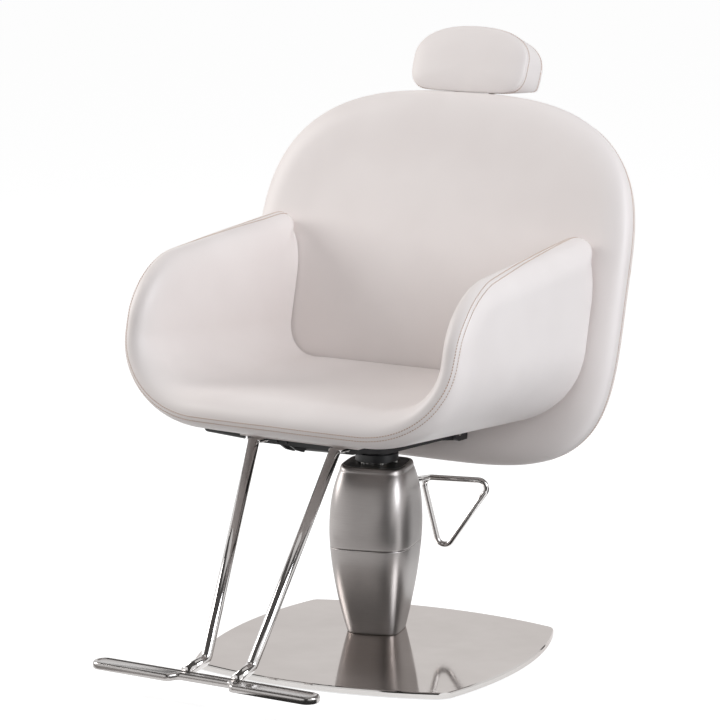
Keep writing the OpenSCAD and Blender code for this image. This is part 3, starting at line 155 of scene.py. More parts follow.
def rodRings(points, along, side, radius, sides=32):
    # ring at each station: point + r (side cos t + over sin t), over square to side and run
    radius = np.broadcast_to(radius, len(points))[:, None, None]
    over = unit(np.cross(side, along))
    t = np.arange(sides) * 2 * np.pi / sides
    ring = side[None, None] * np.cos(t)[None, :, None] + over[:, None] * np.sin(t)[None, :, None]
    return points[:, None] + radius * ring


def rod(corners, bend, radius, sides=32):
    # round rod with one bend, given by three corners
    points, along = roundedRoute(corners, bend)
    a, b, c = (np.asarray(q, float) for q in corners)
    return skin(rodRings(points, along, unit(np.cross(b - a, c - b)), radius, sides), points[0], points[-1])


def turned(points, degrees):
    # turned about the swivel axis
    a = math.radians(degrees)
    m = np.array([[math.cos(a), -math.sin(a), 0], [math.sin(a), math.cos(a), 0], [0, 0, 1]])
    return np.asarray(points) @ m.T


def roundedBox(low, high, r):
    # box with rounded upright corners and eased top and bottom edges, as a stack of rings
    low, high = np.asarray(low, float), np.asarray(high, float)
    t = np.radians(np.arange(0, 90.1, 15))
    mid, half = (low + high) / 2, (high - low) / 2
    corner = np.stack([np.cos(t), np.sin(t)], -1)
    quarter = [corner, corner[::-1] * [-1, 1], -corner, corner[::-1] * [1, -1]]
    flat = np.vstack(quarter)
    centre = np.vstack([np.repeat([[sx, sy]], len(t), 0) for sx, sy in ((1, 1), (-1, 1), (-1, -1), (1, -1))])
    edge = min(r, half[2]) * 0.35
    rings = []
    for z, d in ((-half[2], edge), (-half[2] + edge * 0.3, edge * 0.3), (-half[2] + edge, 0),
                 (half[2] - edge, 0), (half[2] - edge * 0.3, edge * 0.3), (half[2], edge)):
        xy = centre * (half[:2] - r) + flat * (r - d)
        rings.append(np.column_stack([xy, np.full(len(xy), z)]) + mid)
    return skin(rings, mid - [0, 0, half[2]], mid + [0, 0, half[2]])


def newEffect(name, **scales):
    # shared node group: a place and two scales in, a relief height and a slow tone out
    group = bpy.data.node_groups.new(name, "ShaderNodeTree")
    group.interface.new_socket("Vector", in_out="INPUT", socket_type="NodeSocketVector")
    for label, value in scales.items():
        socket = group.interface.new_socket(label, in_out="INPUT", socket_type="NodeSocketFloat")
        socket.default_value = value
    for label in ("Height", "Tone"):
        group.interface.new_socket(label, in_out="OUTPUT", socket_type="NodeSocketFloat")
    return group, group.nodes.new("NodeGroupInput").outputs, group.nodes.new("NodeGroupOutput").inputs


def noiseNode(tree, vector, scale, detail):
    node = tree.nodes.new("ShaderNodeTexNoise")
    node.inputs["Detail"].default_value = detail
    tree.links.new(vector, node.inputs["Vector"])
    tree.links.new(scale, node.inputs["Scale"])
    return node


def mathNode(tree, kind, a, b=None):
    node = tree.nodes.new("ShaderNodeMath")
    node.operation = kind
    for k, v in enumerate((a, b)):
        if v is None:
            continue
        if isinstance(v, (int, float)):
            node.inputs[k].default_value = v
        else:
            tree.links.new(v, node.inputs[k])
    return node.outputs[0]


def makeHideGrain():
    # fine pebbled hide: rounded cells, their depth stirred by noise
    group, start, end = newEffect("hideGrain", Cells=1100.0, Patches=9.0)
    link = group.links.new
    cells = group.nodes.new("ShaderNodeTexVoronoi")
    cells.feature = "SMOOTH_F1"
    cells.inputs["Smoothness"].default_value = 0.6
    link(start["Vector"], cells.inputs["Vector"])
    link(start["Cells"], cells.inputs["Scale"])
    stir = noiseNode(group, start["Vector"], mathNode(group, "MULTIPLY", start["Cells"], 0.35), 3.0)
    link(mathNode(group, "ADD", mathNode(group, "MULTIPLY", cells.outputs["Distance"], -0.8),
                  mathNode(group, "MULTIPLY", stir.outputs["Fac"], 0.5)), end["Height"])
    link(noiseNode(group, start["Vector"], start["Patches"], 2.0).outputs["Fac"], end["Tone"])
    return group


def makeBrushing():
    # hairlines: noise squeezed many times along the way that the metal was brushed
    group, start, end = newEffect("brushing", Lines=900.0, Clouds=6.0)
    link = group.links.new
    squeeze = group.nodes.new("ShaderNodeVectorMath")
    squeeze.operation = "MULTIPLY"
    squeeze.inputs[1].default_value = (0.02, 0.02, 1.0)
    link(start["Vector"], squeeze.inputs[0])
    fine = noiseNode(group, squeeze.outputs[0], start["Lines"], 2.0)
    fine.inputs["Roughness"].default_value = 0.65
    cloud = noiseNode(group, start["Vector"], start["Clouds"], 4.0)
    link(fine.outputs["Fac"], end["Height"])
    link(mathNode(group, "ADD", mathNode(group, "MULTIPLY", cloud.outputs["Fac"], 0.6),
                  mathNode(group, "MULTIPLY", fine.outputs["Fac"], 0.4)), end["Tone"])
    return group


def makeSpeckle():
    # even speckle of paint, rubber or moulded plastic
    group, start, end = newEffect("speckle", Grains=700.0, Patches=14.0)
    for scale, detail, result in (("Grains", 2.0, "Height"), ("Patches", 3.0, "Tone")):
        noise = noiseNode(group, start["Vector"], start[scale], detail)
        group.links.new(noise.outputs["Fac"], end[result])
    return group


effects = {"hideGrain": makeHideGrain(), "brushing": makeBrushing(), "speckle": makeSpeckle()}

# colour range, roughness range, effect with its two scales, bump; shader holds other values of the shader
finishes = {
    "paleVinyl": dict(deep=(0.800, 0.742, 0.722), pale=(0.826, 0.770, 0.750), rough=(0.40, 0.50),
        effect="hideGrain", scales=(1150, 7), bump=0.10, depth=0.0003,
        shader={"Specular IOR Level": 0.42, "Sheen Weight": 0.08}),
    "rearVinyl": dict(deep=(0.778, 0.724, 0.706), pale=(0.806, 0.752, 0.734), rough=(0.44, 0.54),
        effect="hideGrain", scales=(1150, 7), bump=0.12, depth=0.0003,
        shader={"Specular IOR Level": 0.4}),
    "tanThread": dict(deep=(0.36, 0.20, 0.12), pale=(0.50, 0.31, 0.20), rough=(0.6, 0.8),
        effect="speckle", scales=(2600, 60), bump=0.3, depth=0.0002),
    "satinSteel": dict(deep=(0.36, 0.335, 0.325), pale=(0.42, 0.395, 0.385), rough=(0.34, 0.40),
        effect="brushing", scales=(1400, 5), bump=0.05, depth=0.0001, metal=1.0,
        shader={"Anisotropic": 0.35}),
    "mirrorSteel": dict(deep=(0.56, 0.54, 0.525), pale=(0.62, 0.60, 0.585), rough=(0.035, 0.10),
        effect="brushing", scales=(700, 4), bump=0.012, depth=0.0001, metal=1.0,
        shader={"Specular Tint": (0.80, 0.76, 0.745, 1)}),
    "chromeRod": dict(deep=(0.62, 0.60, 0.59), pale=(0.68, 0.66, 0.65), rough=(0.05, 0.10),
        effect="brushing", scales=(500, 12), bump=0.01, depth=0.0001, metal=1.0),
    "treadSteel": dict(deep=(0.41, 0.39, 0.38), pale=(0.49, 0.47, 0.46), rough=(0.14, 0.24),
        effect="brushing", scales=(900, 10), bump=0.03, depth=0.0001, metal=1.0),
    "zincPlate": dict(deep=(0.42, 0.41, 0.39), pale=(0.55, 0.54, 0.52), rough=(0.22, 0.36),
        effect="speckle", scales=(1200, 40), bump=0.05, depth=0.0001, metal=1.0),
    "tubeSteel": dict(deep=(0.28, 0.28, 0.28), pale=(0.38, 0.38, 0.38), rough=(0.3, 0.45),
        effect="brushing", scales=(900, 20), bump=0.05, depth=0.0001, metal=1.0),
    "blackCoat": dict(deep=(0.012, 0.012, 0.013), pale=(0.022, 0.022, 0.023), rough=(0.38, 0.52),
        effect="speckle", scales=(900, 25), bump=0.12, depth=0.0002,
        shader={"Specular IOR Level": 0.5}),
    "pumpPaint": dict(deep=(0.035, 0.036, 0.038), pale=(0.05, 0.051, 0.054), rough=(0.4, 0.55),
        effect="speckle", scales=(600, 20), bump=0.1, depth=0.0002),
    "darkMoulding": dict(deep=(0.018, 0.017, 0.017), pale=(0.03, 0.029, 0.028), rough=(0.42, 0.55),
        effect="speckle", scales=(1500, 30), bump=0.2, depth=0.0002),
    "millSteel": dict(deep=(0.06, 0.06, 0.062), pale=(0.10, 0.10, 0.10), rough=(0.45, 0.65),
        effect="speckle", scales=(300, 12), bump=0.1, depth=0.0003, metal=0.7),
    "rubberSheet": dict(deep=(0.018, 0.018, 0.018), pale=(0.03, 0.03, 0.03), rough=(0.75, 0.9),
        effect="speckle", scales=(800, 20), bump=0.3, depth=0.0003),
    "plyBoard": dict(deep=(0.24, 0.14, 0.07), pale=(0.42, 0.28, 0.16), rough=(0.55, 0.75),
        effect="brushing", scales=(60, 8), bump=0.2, depth=0.0004),
    "bronzeBush": dict(deep=(0.42, 0.27, 0.11), pale=(0.52, 0.35, 0.16), rough=(0.25, 0.4),
        effect="speckle", scales=(700, 30), bump=0.05, depth=0.0001, metal=1.0),
}


def makeFinish(name, deep, pale, rough, effect, scales, bump, depth, metal=0.0, shader=None):
    material = bpy.data.materials.new(name)
    material.use_nodes = True
    tree = material.node_tree
    link = tree.links.new
    bsdf = tree.nodes["Principled BSDF"]
    place = tree.nodes.new("ShaderNodeTexCoord")
    pattern = tree.nodes.new("ShaderNodeGroup")
    pattern.node_tree = effects[effect]
    pattern.inputs[1].default_value, pattern.inputs[2].default_value = scales
    link(place.outputs["Object"], pattern.inputs["Vector"])
    ramp = tree.nodes.new("ShaderNodeMapRange")
    ramp.inputs["From Min"].default_value, ramp.inputs["From Max"].default_value = 0.35, 0.65
    link(pattern.outputs["Tone"], ramp.inputs["Value"])
    tint = tree.nodes.new("ShaderNodeMix")
    tint.data_type = "RGBA"
    tint.inputs["A"].default_value = (*deep, 1)
    tint.inputs["B"].default_value = (*pale, 1)
    link(ramp.outputs["Result"], tint.inputs["Factor"])
    link(tint.outputs["Result"], bsdf.inputs["Base Color"])
    gloss = tree.nodes.new("ShaderNodeMapRange")
    gloss.inputs["From Min"].default_value, gloss.inputs["From Max"].default_value = 0.3, 0.7
    gloss.inputs["To Min"].default_value, gloss.inputs["To Max"].default_value = rough
    link(pattern.outputs["Tone"], gloss.inputs["Value"])
    link(gloss.outputs["Result"], bsdf.inputs["Roughness"])
    relief = tree.nodes.new("ShaderNodeBump")
    relief.inputs["Strength"].default_value = bump
    relief.inputs["Distance"].default_value = depth
    link(pattern.outputs["Height"], relief.inputs["Height"])
    link(relief.outputs["Normal"], bsdf.inputs["Normal"])
    bsdf.inputs["Metallic"].default_value = metal
    for socket, value in (shader or {}).items():
        bsdf.inputs[socket].default_value = value
    material.diffuse_color = (*pale, 1)
    return material


made = {name: makeFinish(name, **values) for name, values in finishes.items()}
print("stage: finishes made")

# the padded tub: a U-shaped middle layer thickened to both sides
tub = dict(half=0.297, flare=0.008, under=0.3803, seatPad=0.062, armPad=0.050, armRearPad=0.068,
           armHeight=0.320, armFall=0.038, ahead=0.336, rise=0.014, underShare=0.84, flatFront=0.52,
           flatRear=0.67, cornerFront=0.120, cornerRear=0.100, sweep=0.078, sweepPow=2.1, cornerR=0.100,
           rearR=0.032, rearL=0.058, deepRef=0.470, tallRef=0.520, crown=0.007, crownReach=0.09,
           rearRound=0.046, armRearRound=0.016, endEase=0.40, gap=0.001, inReach=0.060, outReach=0.052,
           nosePow=2.2, noseHigh=0.0265, depthSteps=46, widthSteps=76, padTurn=(0.35, 0.4),
           roundTurn=(0.3, 0.3), crownTurn=(0.55, -0.22), underTurn=(0.35, 0.3), seamEnd=0.02, rimEase=0.004)
back = dict(half=0.368, low=0.340, up=0.281, foot=0.290, footY=0.1315, slope=0.1176, bow=4.167, upN=2.85,
            lowN=4.1, frontPad=0.024, roll=0.046, rearPad=0.042, rearRoll=0.046, dish=0.003, dishWidth=0.080,
            crown=0.003, seam=0.020, edgeIn=0.0024, valley=0.0022, valleyFrom=0.86, turnUp=0.0016,
            shellIn=0.001, padGap=0.0002, sideGap=0.0004, shellGap=0.0003, flangeFrom=0.012, flangeTo=0.034,
            inner=0.20, innerOff=-0.003, shellFrom=0.010, shellMid=0.06, crownFrom=0.05, crownOver=0.10,
            core=0.23)
back["midZ"] = back["foot"] + back["low"]


def backLine(z):
    # middle layer's fore-and-aft line: y = y0 + slope h + h^2 / bow, h above the lower edge
    h = z - back["foot"]
    return back["footY"] + back["slope"] * h + h * h / back["bow"]


def backLean(z):
    return np.arctan(back["slope"] + 2 * (z - back["foot"]) / back["bow"])


def backInset(x, z):
    # how far inside the outline |x/w|^n + |v/h|^n = 1 a place lies
    v = z - back["midZ"]
    n = np.where(v >= 0, back["upN"], back["lowN"])
    h = np.where(v >= 0, back["up"], back["low"])
    f = (np.abs(x / back["half"]) ** n + np.abs(v / h) ** n) ** (1 / n)
    return np.maximum(0, 1 - f) * np.minimum(back["half"], h)


def frontOff(d):
    # rolled edge of the padding, then a shallow dish inside it
    dish = back["dish"] * ease((d - back["roll"]) / back["dishWidth"])
    return dish - back["frontPad"] * noseShare(d, back["roll"])


def backFront(x, z):
    off = frontOff(backInset(x, z))
    zz = z + off * np.sin(backLean(z))
    return backLine(zz) + off * np.cos(backLean(zz))


def tubSection(w, q):
    # U section: flat seat, quarter ellipse, upright arm; w runs round it from 0 to 1, q from front to back
    half = tub["half"] + tub["flare"] * (1 - q)
    flat = half * lerp(tub["flatFront"], tub["flatRear"], q)
    rx = half - flat
    rz = lerp(tub["cornerFront"], tub["cornerRear"], q)
    zs = tub["under"] + tub["seatPad"] / 2 + tub["rise"] * (1 - q)
    zt = tub["under"] + tub["armHeight"] - tub["armFall"] * (1 - q)
    turn = np.pi / 2 * np.sqrt((rx * rx + rz * rz) / 2)
    u = np.abs(w) * (flat + turn + zt - zs - rz)
    a = np.pi / 2 * np.clip((u - flat) / turn, 0, 1)
    x = np.minimum(u, flat) + rx * np.sin(a)
    z = zs + rz * (1 - np.cos(a)) + np.maximum(0, u - flat - turn)
    return np.sign(w) * x, z


def tubMid(w, q):
    # y runs from the swept front edge to the front of the back
    x, z = tubSection(w, q)
    front = -tub["ahead"] + tub["sweep"] * np.abs(w) ** tub["sweepPow"]
    xr, zr = tubSection(w, np.ones_like(q))
    rear = backFront(xr, zr) - tub["gap"]
    return np.stack([x, lerp(front, rear, q), z], -1)


def tubNormal(w, q):
    e = 0.004
    a = tubMid(w + e, q) - tubMid(w - e, q)
    b = tubMid(w, q + e) - tubMid(w, q - e)
    return unit(np.cross(a, b))


def turnIn(w, w0):
    t = np.clip((np.abs(w) - w0) / (1 - w0), 0, 1)
    return 1 - np.sqrt(1 - t * t)


def tubDepth(w, t):
    front = tub["cornerR"] / tub["deepRef"] * turnIn(w, 1 - tub["cornerR"] / tub["tallRef"])
    rear = 1 - tub["rearL"] / tub["deepRef"] * turnIn(w, 1 - tub["rearR"] / tub["tallRef"])
    return lerp(front, rear, t)


def rimDistance(w, q):
    # distance inward from the rolled rim: front edge, crest and the rounding between them
    a, b, r = (1 - np.abs(w)) * tub["tallRef"], q * tub["deepRef"], tub["cornerR"]
    return np.maximum(0, np.where((a < r) & (b < r), r - np.hypot(r - a, r - b), np.minimum(a, b)))


def endDistance(w, q):
    # distance inward from the rounding at the crest's rear end, measured as if it were a quarter circle
    s = tub["rearR"]
    a, c = (1 - np.abs(w)) * tub["tallRef"], (1 - q) * tub["deepRef"] * s / tub["rearL"]
    inside = np.where(c < s, s - np.hypot(s - a, s - c), a)
    below = np.hypot(tub["endEase"] * np.maximum(a - s, 0), c)
    return np.maximum(0, np.where(a < s, inside, np.minimum(a, below)))


def turnShare(w, key):
    # 0 to 1 on the way round the section, from a start over a width; a negative width falls from 1 to 0
    start, width = tub[key]
    return ease((np.abs(w) - start) / width)


def padHalf(w, q):
    arm = lerp(tub["armPad"], tub["armRearPad"], q)
    return lerp(tub["seatPad"], arm, turnShare(w, "padTurn")) / 2


# distance along the rolled nose for each distance in from the rim, for the seam and its stitches
noseD = tub["outReach"] * (1 - np.cos(np.radians(np.linspace(0, 90, 400))))
noseH = tub["noseHigh"] * noseShare(noseD, tub["outReach"], tub["nosePow"])
noseS = np.concatenate([[0], np.cumsum(np.hypot(np.diff(noseD), np.diff(noseH)))])
seamRun = [0, 0.200, 0.330, 0.420, 0.480, 0.540, 0.600, 0.700, 0.850, 1.000]
seamShift = [-0.004, -0.006, -0.010, -0.016, -0.018, -0.016, -0.011, -0.003, 0.005, 0.007]
seam = dict(rows=0.0036, groove=0.0011, width=0.0016, rowGroove=0.0006, rowWidth=0.0011, puff=0.0006,
            probe=0.0008)


def seamPlace(w, q):
    # where the seam lies across the nose, + towards the sitter, from the run along the rim
    return np.interp(np.abs(w) * tub["tallRef"] + q * tub["deepRef"], seamRun, seamShift)


def seamDip(e):
    # valley at the seam and a finer one under each stitch row, with the cloth a little proud beside them
    bell = lambda away, width: np.exp(-(away / width) ** 2)
    dip = seam["puff"] * bell(e, 4 * seam["width"]) - seam["groove"] * bell(e, seam["width"])
    for s in (-1, 1):
        dip = dip - seam["rowGroove"] * bell(e - s * seam["rows"], seam["rowWidth"])
    return dip


def tubPoint(w, q, side):
    # middle + side * thickness * normal; the thickness rolls off to nothing at the rim
    t = padHalf(w, q)
    d = rimDistance(w, q)
    r = lerp(tub["rearRound"], tub["armRearRound"], turnShare(w, "roundTurn"))
    reach = np.where(side > 0, tub["inReach"], tub["outReach"])
    rim = np.minimum(noseShare(d, reach, tub["nosePow"]), noseShare(endDistance(w, q), tub["rearR"]))
    crown = tub["crown"] * turnShare(w, "crownTurn") * noseShare(d, tub["crownReach"])
    under = lerp(tub["underShare"], 1, np.maximum(q, turnShare(w, "underTurn")))
    h = np.where(side > 0, t * rim + crown, t * rim * under * noseShare((1 - q) * tub["deepRef"], r))
    e = side * np.interp(d, noseD, noseS) - seamPlace(w, q)
    fade = ease((1 - q) * tub["deepRef"] / tub["seamEnd"])
    h = h + seamDip(e) * fade * np.clip(d / tub["rimEase"], 0, 1)
    return tubMid(w, q) + (side * h)[..., None] * tubNormal(w, q)


def makeTub():
    r = np.radians(np.arange(0, 91, 2.5))
    reach = tub["inReach"]
    front = reach * (1 - np.cos(r)) / tub["deepRef"]
    rearTurn = tub["rearL"] * (1 - np.cos(np.radians(np.arange(0, 91, 5)))) / tub["deepRef"]
    flat = np.linspace(front[-1], 1 - rearTurn[-1], tub["depthSteps"])
    depth = np.concatenate([front, flat[1:], (1 - rearTurn)[::-1][1:]])
    crest = 1 - reach * (1 - np.cos(r)) / tub["tallRef"]
    halfW = np.concatenate([np.linspace(0, crest[-1], tub["widthSteps"]), crest[::-1][1:]])
    ws = np.concatenate([-halfW[::-1], halfW[1:]])
    w, t = np.meshgrid(ws, depth, indexing="ij")
    q = tubDepth(w, t)
    inner, outer = tubPoint(w, q, np.ones_like(w)), tubPoint(w, q, -np.ones_like(w))
    cols, rows = w.shape
    points = np.concatenate([inner.reshape(-1, 3), outer.reshape(-1, 3)])
    first = gridFaces(cols, rows)
    second = first[:, ::-1] + cols * rows
    edge = np.arange(cols) * rows + rows - 1
    rear = np.stack([edge[1:], edge[:-1], edge[:-1] + cols * rows, edge[1:] + cols * rows], -1)
    faces = np.concatenate([first[:, ::-1], second[:, ::-1], rear])
    piece = makePiece("tubPad", points, faces, made["paleVinyl"], "seat", ("seat_tub",))
    weld(piece, 2e-6)
    return piece


def weld(piece, distance):
    # merges the rim's doubled points and sets the faces outwards
    mesh = piece.data
    work = bmesh.new()
    work.from_mesh(mesh)
    bmesh.ops.remove_doubles(work, verts=work.verts, dist=distance)
    bmesh.ops.dissolve_degenerate(work, dist=1e-7, edges=work.edges)
    bmesh.ops.recalc_face_normals(work, faces=work.faces)
    work.to_mesh(mesh)
    work.free()
    mesh.update()


def rimPlace(s, d):
    # the place (w, q) at run s along the rim from the middle of the front, d in from it
    r, tall, deep, rr, rl = tub["cornerR"], tub["tallRef"], tub["deepRef"], tub["rearR"], tub["rearL"]
    s1 = tall - r
    s2 = s1 + np.pi / 2 * r
    s3 = s2 + deep - r - rl
    a = np.clip((s - s1) / r, 0, np.pi / 2)
    b = np.clip((s - s3) / (rr + rl) * 2, 0, np.pi / 2)
    across = np.where(s < s1, s, np.where(s < s2, tall - r + (r - d) * np.sin(a),
                      np.where(s < s3, tall - d, tall - rr + (rr - d) * np.cos(b))))
    along = np.where(s < s1, d, np.where(s < s2, r - (r - d) * np.cos(a),
                     np.where(s < s3, r + s - s2, deep - rl + (rl - d) * np.sin(b))))
    return across / tall, along / deep


def rimCurve(shift, runs):
    # curve on the tub's surface that keeps a set distance from the seam
    s = np.abs(runs)
    e = np.interp(s, seamRun, seamShift) + shift
    w, q = rimPlace(s, np.interp(np.abs(e), noseS, noseD))
    return tubPoint(w * np.where(runs < 0, -1, 1), q, np.where(e >= 0, 1.0, -1.0))


# shape of one stitch along its length: place, thickness and height above the cloth, as shares
stitchAt = np.array([-1, -0.82, -0.3, 0.3, 0.82, 1])
stitchSize = np.array([0.15, 0.75, 1, 1, 0.75, 0.15])
stitchRise = np.array([-1.0, -0.3, 0, 0, -0.3, -1.0])
stitch = dict(pitch=0.0050, length=0.0037, radius=0.00062, proud=0.00025, around=6, runSteps=1600,
              pastEnd=0.030, inward=0.02)


def stitches(curve, outward):
    # one short rounded thread at every pitch: rings of m points along the run, thinner at both ends
    run = np.concatenate([[0], np.cumsum(np.linalg.norm(np.diff(curve, axis=0), axis=1))])
    at = np.arange(stitch["pitch"], run[-1] - stitch["pitch"] / 2, stitch["pitch"])
    pick = lambda rows: np.stack([np.interp(at, run, rows[:, k]) for k in range(3)], -1)
    centre, normal = pick(curve), unit(pick(outward))
    tangent = unit(pick(np.gradient(curve, axis=0)))
    side = unit(np.cross(tangent, normal))
    normal = np.cross(side, tangent)
    u, size = stitchAt * stitch["length"] / 2, stitchSize * stitch["radius"]
    rise = stitchRise * stitch["radius"] + stitch["proud"]
    n, m = len(u), stitch["around"]
    t = np.arange(m) * np.pi / (m / 2)
    ring = side[:, None, None] * np.cos(t)[:, None] + normal[:, None, None] * np.sin(t)[:, None]
    points = (centre[:, None, None] + tangent[:, None, None] * u[:, None, None]
              + normal[:, None, None] * rise[:, None, None] + ring * size[:, None, None])
    starts = (np.arange(len(at)) * n * m)[:, None]
    faces = (gridFaces(n, m, loopCols=True) + starts[:, None]).reshape(-1, 4).tolist()
    faces += (starts + np.arange(m)[::-1]).tolist() + (starts + (n - 1) * m + np.arange(m)).tolist()
    return points.reshape(-1, 3), faces


def makeTubStitches():
    r, rl = tub["cornerR"], tub["rearL"]
    end = tub["tallRef"] - r + np.pi / 2 * r + tub["deepRef"] - r - rl + stitch["pastEnd"]
    runs = np.linspace(-end, end, stitch["runSteps"])
    parts = []
    for s in (-1, 1):
        at = s * seam["rows"]
        here = rimCurve(at, runs)
        across = rimCurve(at + seam["probe"], runs) - rimCurve(at - seam["probe"], runs)
        outward = unit(np.cross(np.gradient(here, axis=0), across))
        w, q = rimPlace(np.abs(runs), np.full(len(runs), stitch["inward"]))
        inside = tubMid(w * np.where(runs < 0, -1, 1), q)
        outward *= np.where(((here - inside) * outward).sum(-1) < 0, -1, 1)[:, None]
        parts.append(stitches(here, outward))
    points, faces = joined(parts)
    makePiece("tubStitching", points, faces, made["tanThread"], "seat")


tubPad = makeTub()
makeTubStitches()
print("stage: tub made", len(tubPad.data.polygons), "faces")


# the reclining back: padded cushion in front, upholstered shell behind, one seam between them
def shieldAt(angles, half, up, low, upN, lowN):
    # superellipse outline with its own squareness above and below the middle
    s, c = np.sin(angles), np.cos(angles)
    n, h = np.where(s >= 0, upN, lowN), np.where(s >= 0, up, low)
    return np.stack([half * sup(c, n), h * sup(s, n)], -1)


def shieldReach(p, half, up, low, upN, lowN):
    # distance of the outline's tangent from the middle
    n, h = np.where(p[:, 1] >= 0, upN, lowN), np.where(p[:, 1] >= 0, up, low)
    g = np.stack([np.sign(p[:, 0]) * np.abs(p[:, 0] / half) ** (n - 1) / half,
                  np.sign(p[:, 1]) * np.abs(p[:, 1] / h) ** (n - 1) / h], -1)
    return (p * g).sum(-1) / np.linalg.norm(g, axis=-1)


backAngles = np.arange(320) * 2 * np.pi / 320
backShape = (back["half"], back["up"], back["low"], back["upN"], back["lowN"])
backEdge = shieldAt(backAngles, *backShape)
backReach = shieldReach(backEdge, *backShape)


def backPlace(x, z, off):
    # off is measured square to the middle layer, backwards
    return np.stack([x, backLine(z) + off * np.cos(backLean(z)), z - off * np.sin(backLean(z))], -1)


def backRing(inset, off):
    r = 1 - inset / backReach
    return backPlace(backEdge[:, 0] * r, back["midZ"] + backEdge[:, 1] * r, off)


def backSkin(steps, name, material, node):
    rings = np.array([backRing(d, o) for d, o in steps])
    z = np.array([back["midZ"]])
    tips = [backPlace(np.zeros(1), z, o)[0] for o in (steps[0][1], steps[-1][1])]
    points, faces = skin(rings, tips[0], tips[1])
    piece = makePiece(name, points, faces, material, "backrest", (node,))
    weld(piece, 1e-6)
    return piece


def makeBack():
    b = back
    t = np.radians(np.arange(0, 90.1, 4))
    seamOff, edgeIn, core, valley, turnUp = b["seam"], b["edgeIn"], b["core"], b["valley"], b["turnUp"]
    roll = b["roll"] * (1 - np.cos(t))
    insets = np.concatenate([np.linspace(core, b["roll"] + 0.002, 46), roll[::-1]])
    front = [(d, float(frontOff(d))) for d in insets]
    # the side draws in to the seam, where the cloth turns into a small valley
    u = np.linspace(0.06, 1, 16)
    side = [(edgeIn * v ** 2 + valley * ease((v - b["valleyFrom"]) / (1 - b["valleyFrom"])),
             seamOff * v - b["sideGap"]) for v in u]
    behind = [(b["flangeFrom"], seamOff - b["padGap"]), (b["flangeTo"], seamOff - b["padGap"]),
              (b["flangeTo"], b["innerOff"]), (b["inner"], b["innerOff"])]
    pad = backSkin(front + side + behind, "backPad", made["paleVinyl"], "back_cushion")
    rear, crown, lip, reach = b["rearPad"], b["crown"], seamOff + b["shellGap"], b["rearRoll"]
    edge = edgeIn + b["shellIn"]
    start = [(b["inner"], lip), (b["shellMid"], lip), (b["shellFrom"], lip)]
    turn = [(edge + valley * (1 - v), lip + turnUp * v) for v in (0.05, 0.35, 0.7, 1)]
    rise = [(edge + reach * (1 - math.cos(a)), lip + turnUp + (rear - lip - turnUp) * math.sin(a))
            for a in np.radians(np.arange(3, 90.1, 3))]
    last = [(d, rear + crown * float(ease((d - b["crownFrom"]) / b["crownOver"])))
            for d in np.linspace(0.054, core, 24)]
    steps = start + turn + rise + last
    shell = backSkin(steps, "backShellPad", made["rearVinyl"], "back_shell")


def closedStitches(ring, middle):
    # stitches round a closed line of a padded shape; ring(k) is the line moved k mm across it
    curve = ring(0)
    along = np.roll(curve, -1, 0) - np.roll(curve, 1, 0)
    outward = unit(np.cross(along, ring(1) - ring(-1)))
    outward *= np.where(((curve - middle) * outward).sum(-1) < 0, -1, 1)[:, None]
    return stitches(np.vstack([curve, curve[:2]]), np.vstack([outward, outward[:2]]))


# each row of the back's stitches: inset, offset, and how fast the inset grows with the offset
backRows = ((0.0011, 0.0140, 0.17), (0.0050, 0.0275, 0.66))


def makeBackStitches():
    middle = backPlace(np.zeros(1), np.array([back["midZ"]]), 0.0)[0]
    parts = [closedStitches(lambda k: backRing(inset + 0.001 * k * slope, off + 0.001 * k), middle)
             for inset, off, slope in backRows]
    points, faces = joined(parts)
    makePiece("backStitching", points, faces, made["tanThread"], "backrest")


makeBack()
makeBackStitches()
print("stage: back made")

# the headrest: a bean-shaped pad with a seam round its front and its rear edge
head = dict(width=0.226, height=0.123, depth=0.056, y=0.34198, z=0.955, lean=21.0, crown=0.014,
            upShare=0.504, upN=2.3, lowN=4.0, level=0.9116, levelEase=0.004, pinch=0.0016, roll=0.056,
            lip=0.0016, lipIn=0.0004, belly=0.0015, levelRange=0.03, pinchWidth=0.012, pinchDrop=0.05,
            bowPow=2.1, seamIn=0.0018, seamFrom=0.88, rowFace=(0.0052, 0.0036), rowSide=(0.0040, -0.0005))
headShape = (head["width"] / 2, head["height"] * head["upShare"], head["height"] * (1 - head["upShare"]),
             head["upN"], head["lowN"])
headEdge = shieldAt(np.arange(240) * 2 * np.pi / 240, *headShape)
headReach = shieldReach(headEdge, *headShape)


def headTurned(points):
    a = math.radians(head["lean"])
    p = np.asarray(points, float)
    y, z = p[..., 1], p[..., 2]
    # leant back, then kept above the level underside by a smooth maximum: (a + b + sqrt((a - b)^2 + k^2)) / 2
    up = head["z"] - y * math.sin(a) + z * math.cos(a)
    gap = up - head["level"]
    held = head["level"] + (gap + np.sqrt(gap * gap + head["levelEase"] ** 2)) / 2
    up = np.where(gap < head["levelRange"], held, up)
    return np.stack([p[..., 0], head["y"] + y * math.cos(a) + z * math.sin(a), up], -1)


def headRing(inset, y):
    # the outline drawn in, with a slight pinch below the middle of each face
    r = 1 - inset / headReach
    x, z = headEdge[:, 0] * r, headEdge[:, 1] * r
    wide, drop = head["pinchWidth"], head["pinchDrop"]
    face = np.sign(y) * head["pinch"] * np.exp(-(x / wide) ** 2) * ease(inset / wide) * ease(-z / drop)
    return np.stack([x, y - face, z], -1)


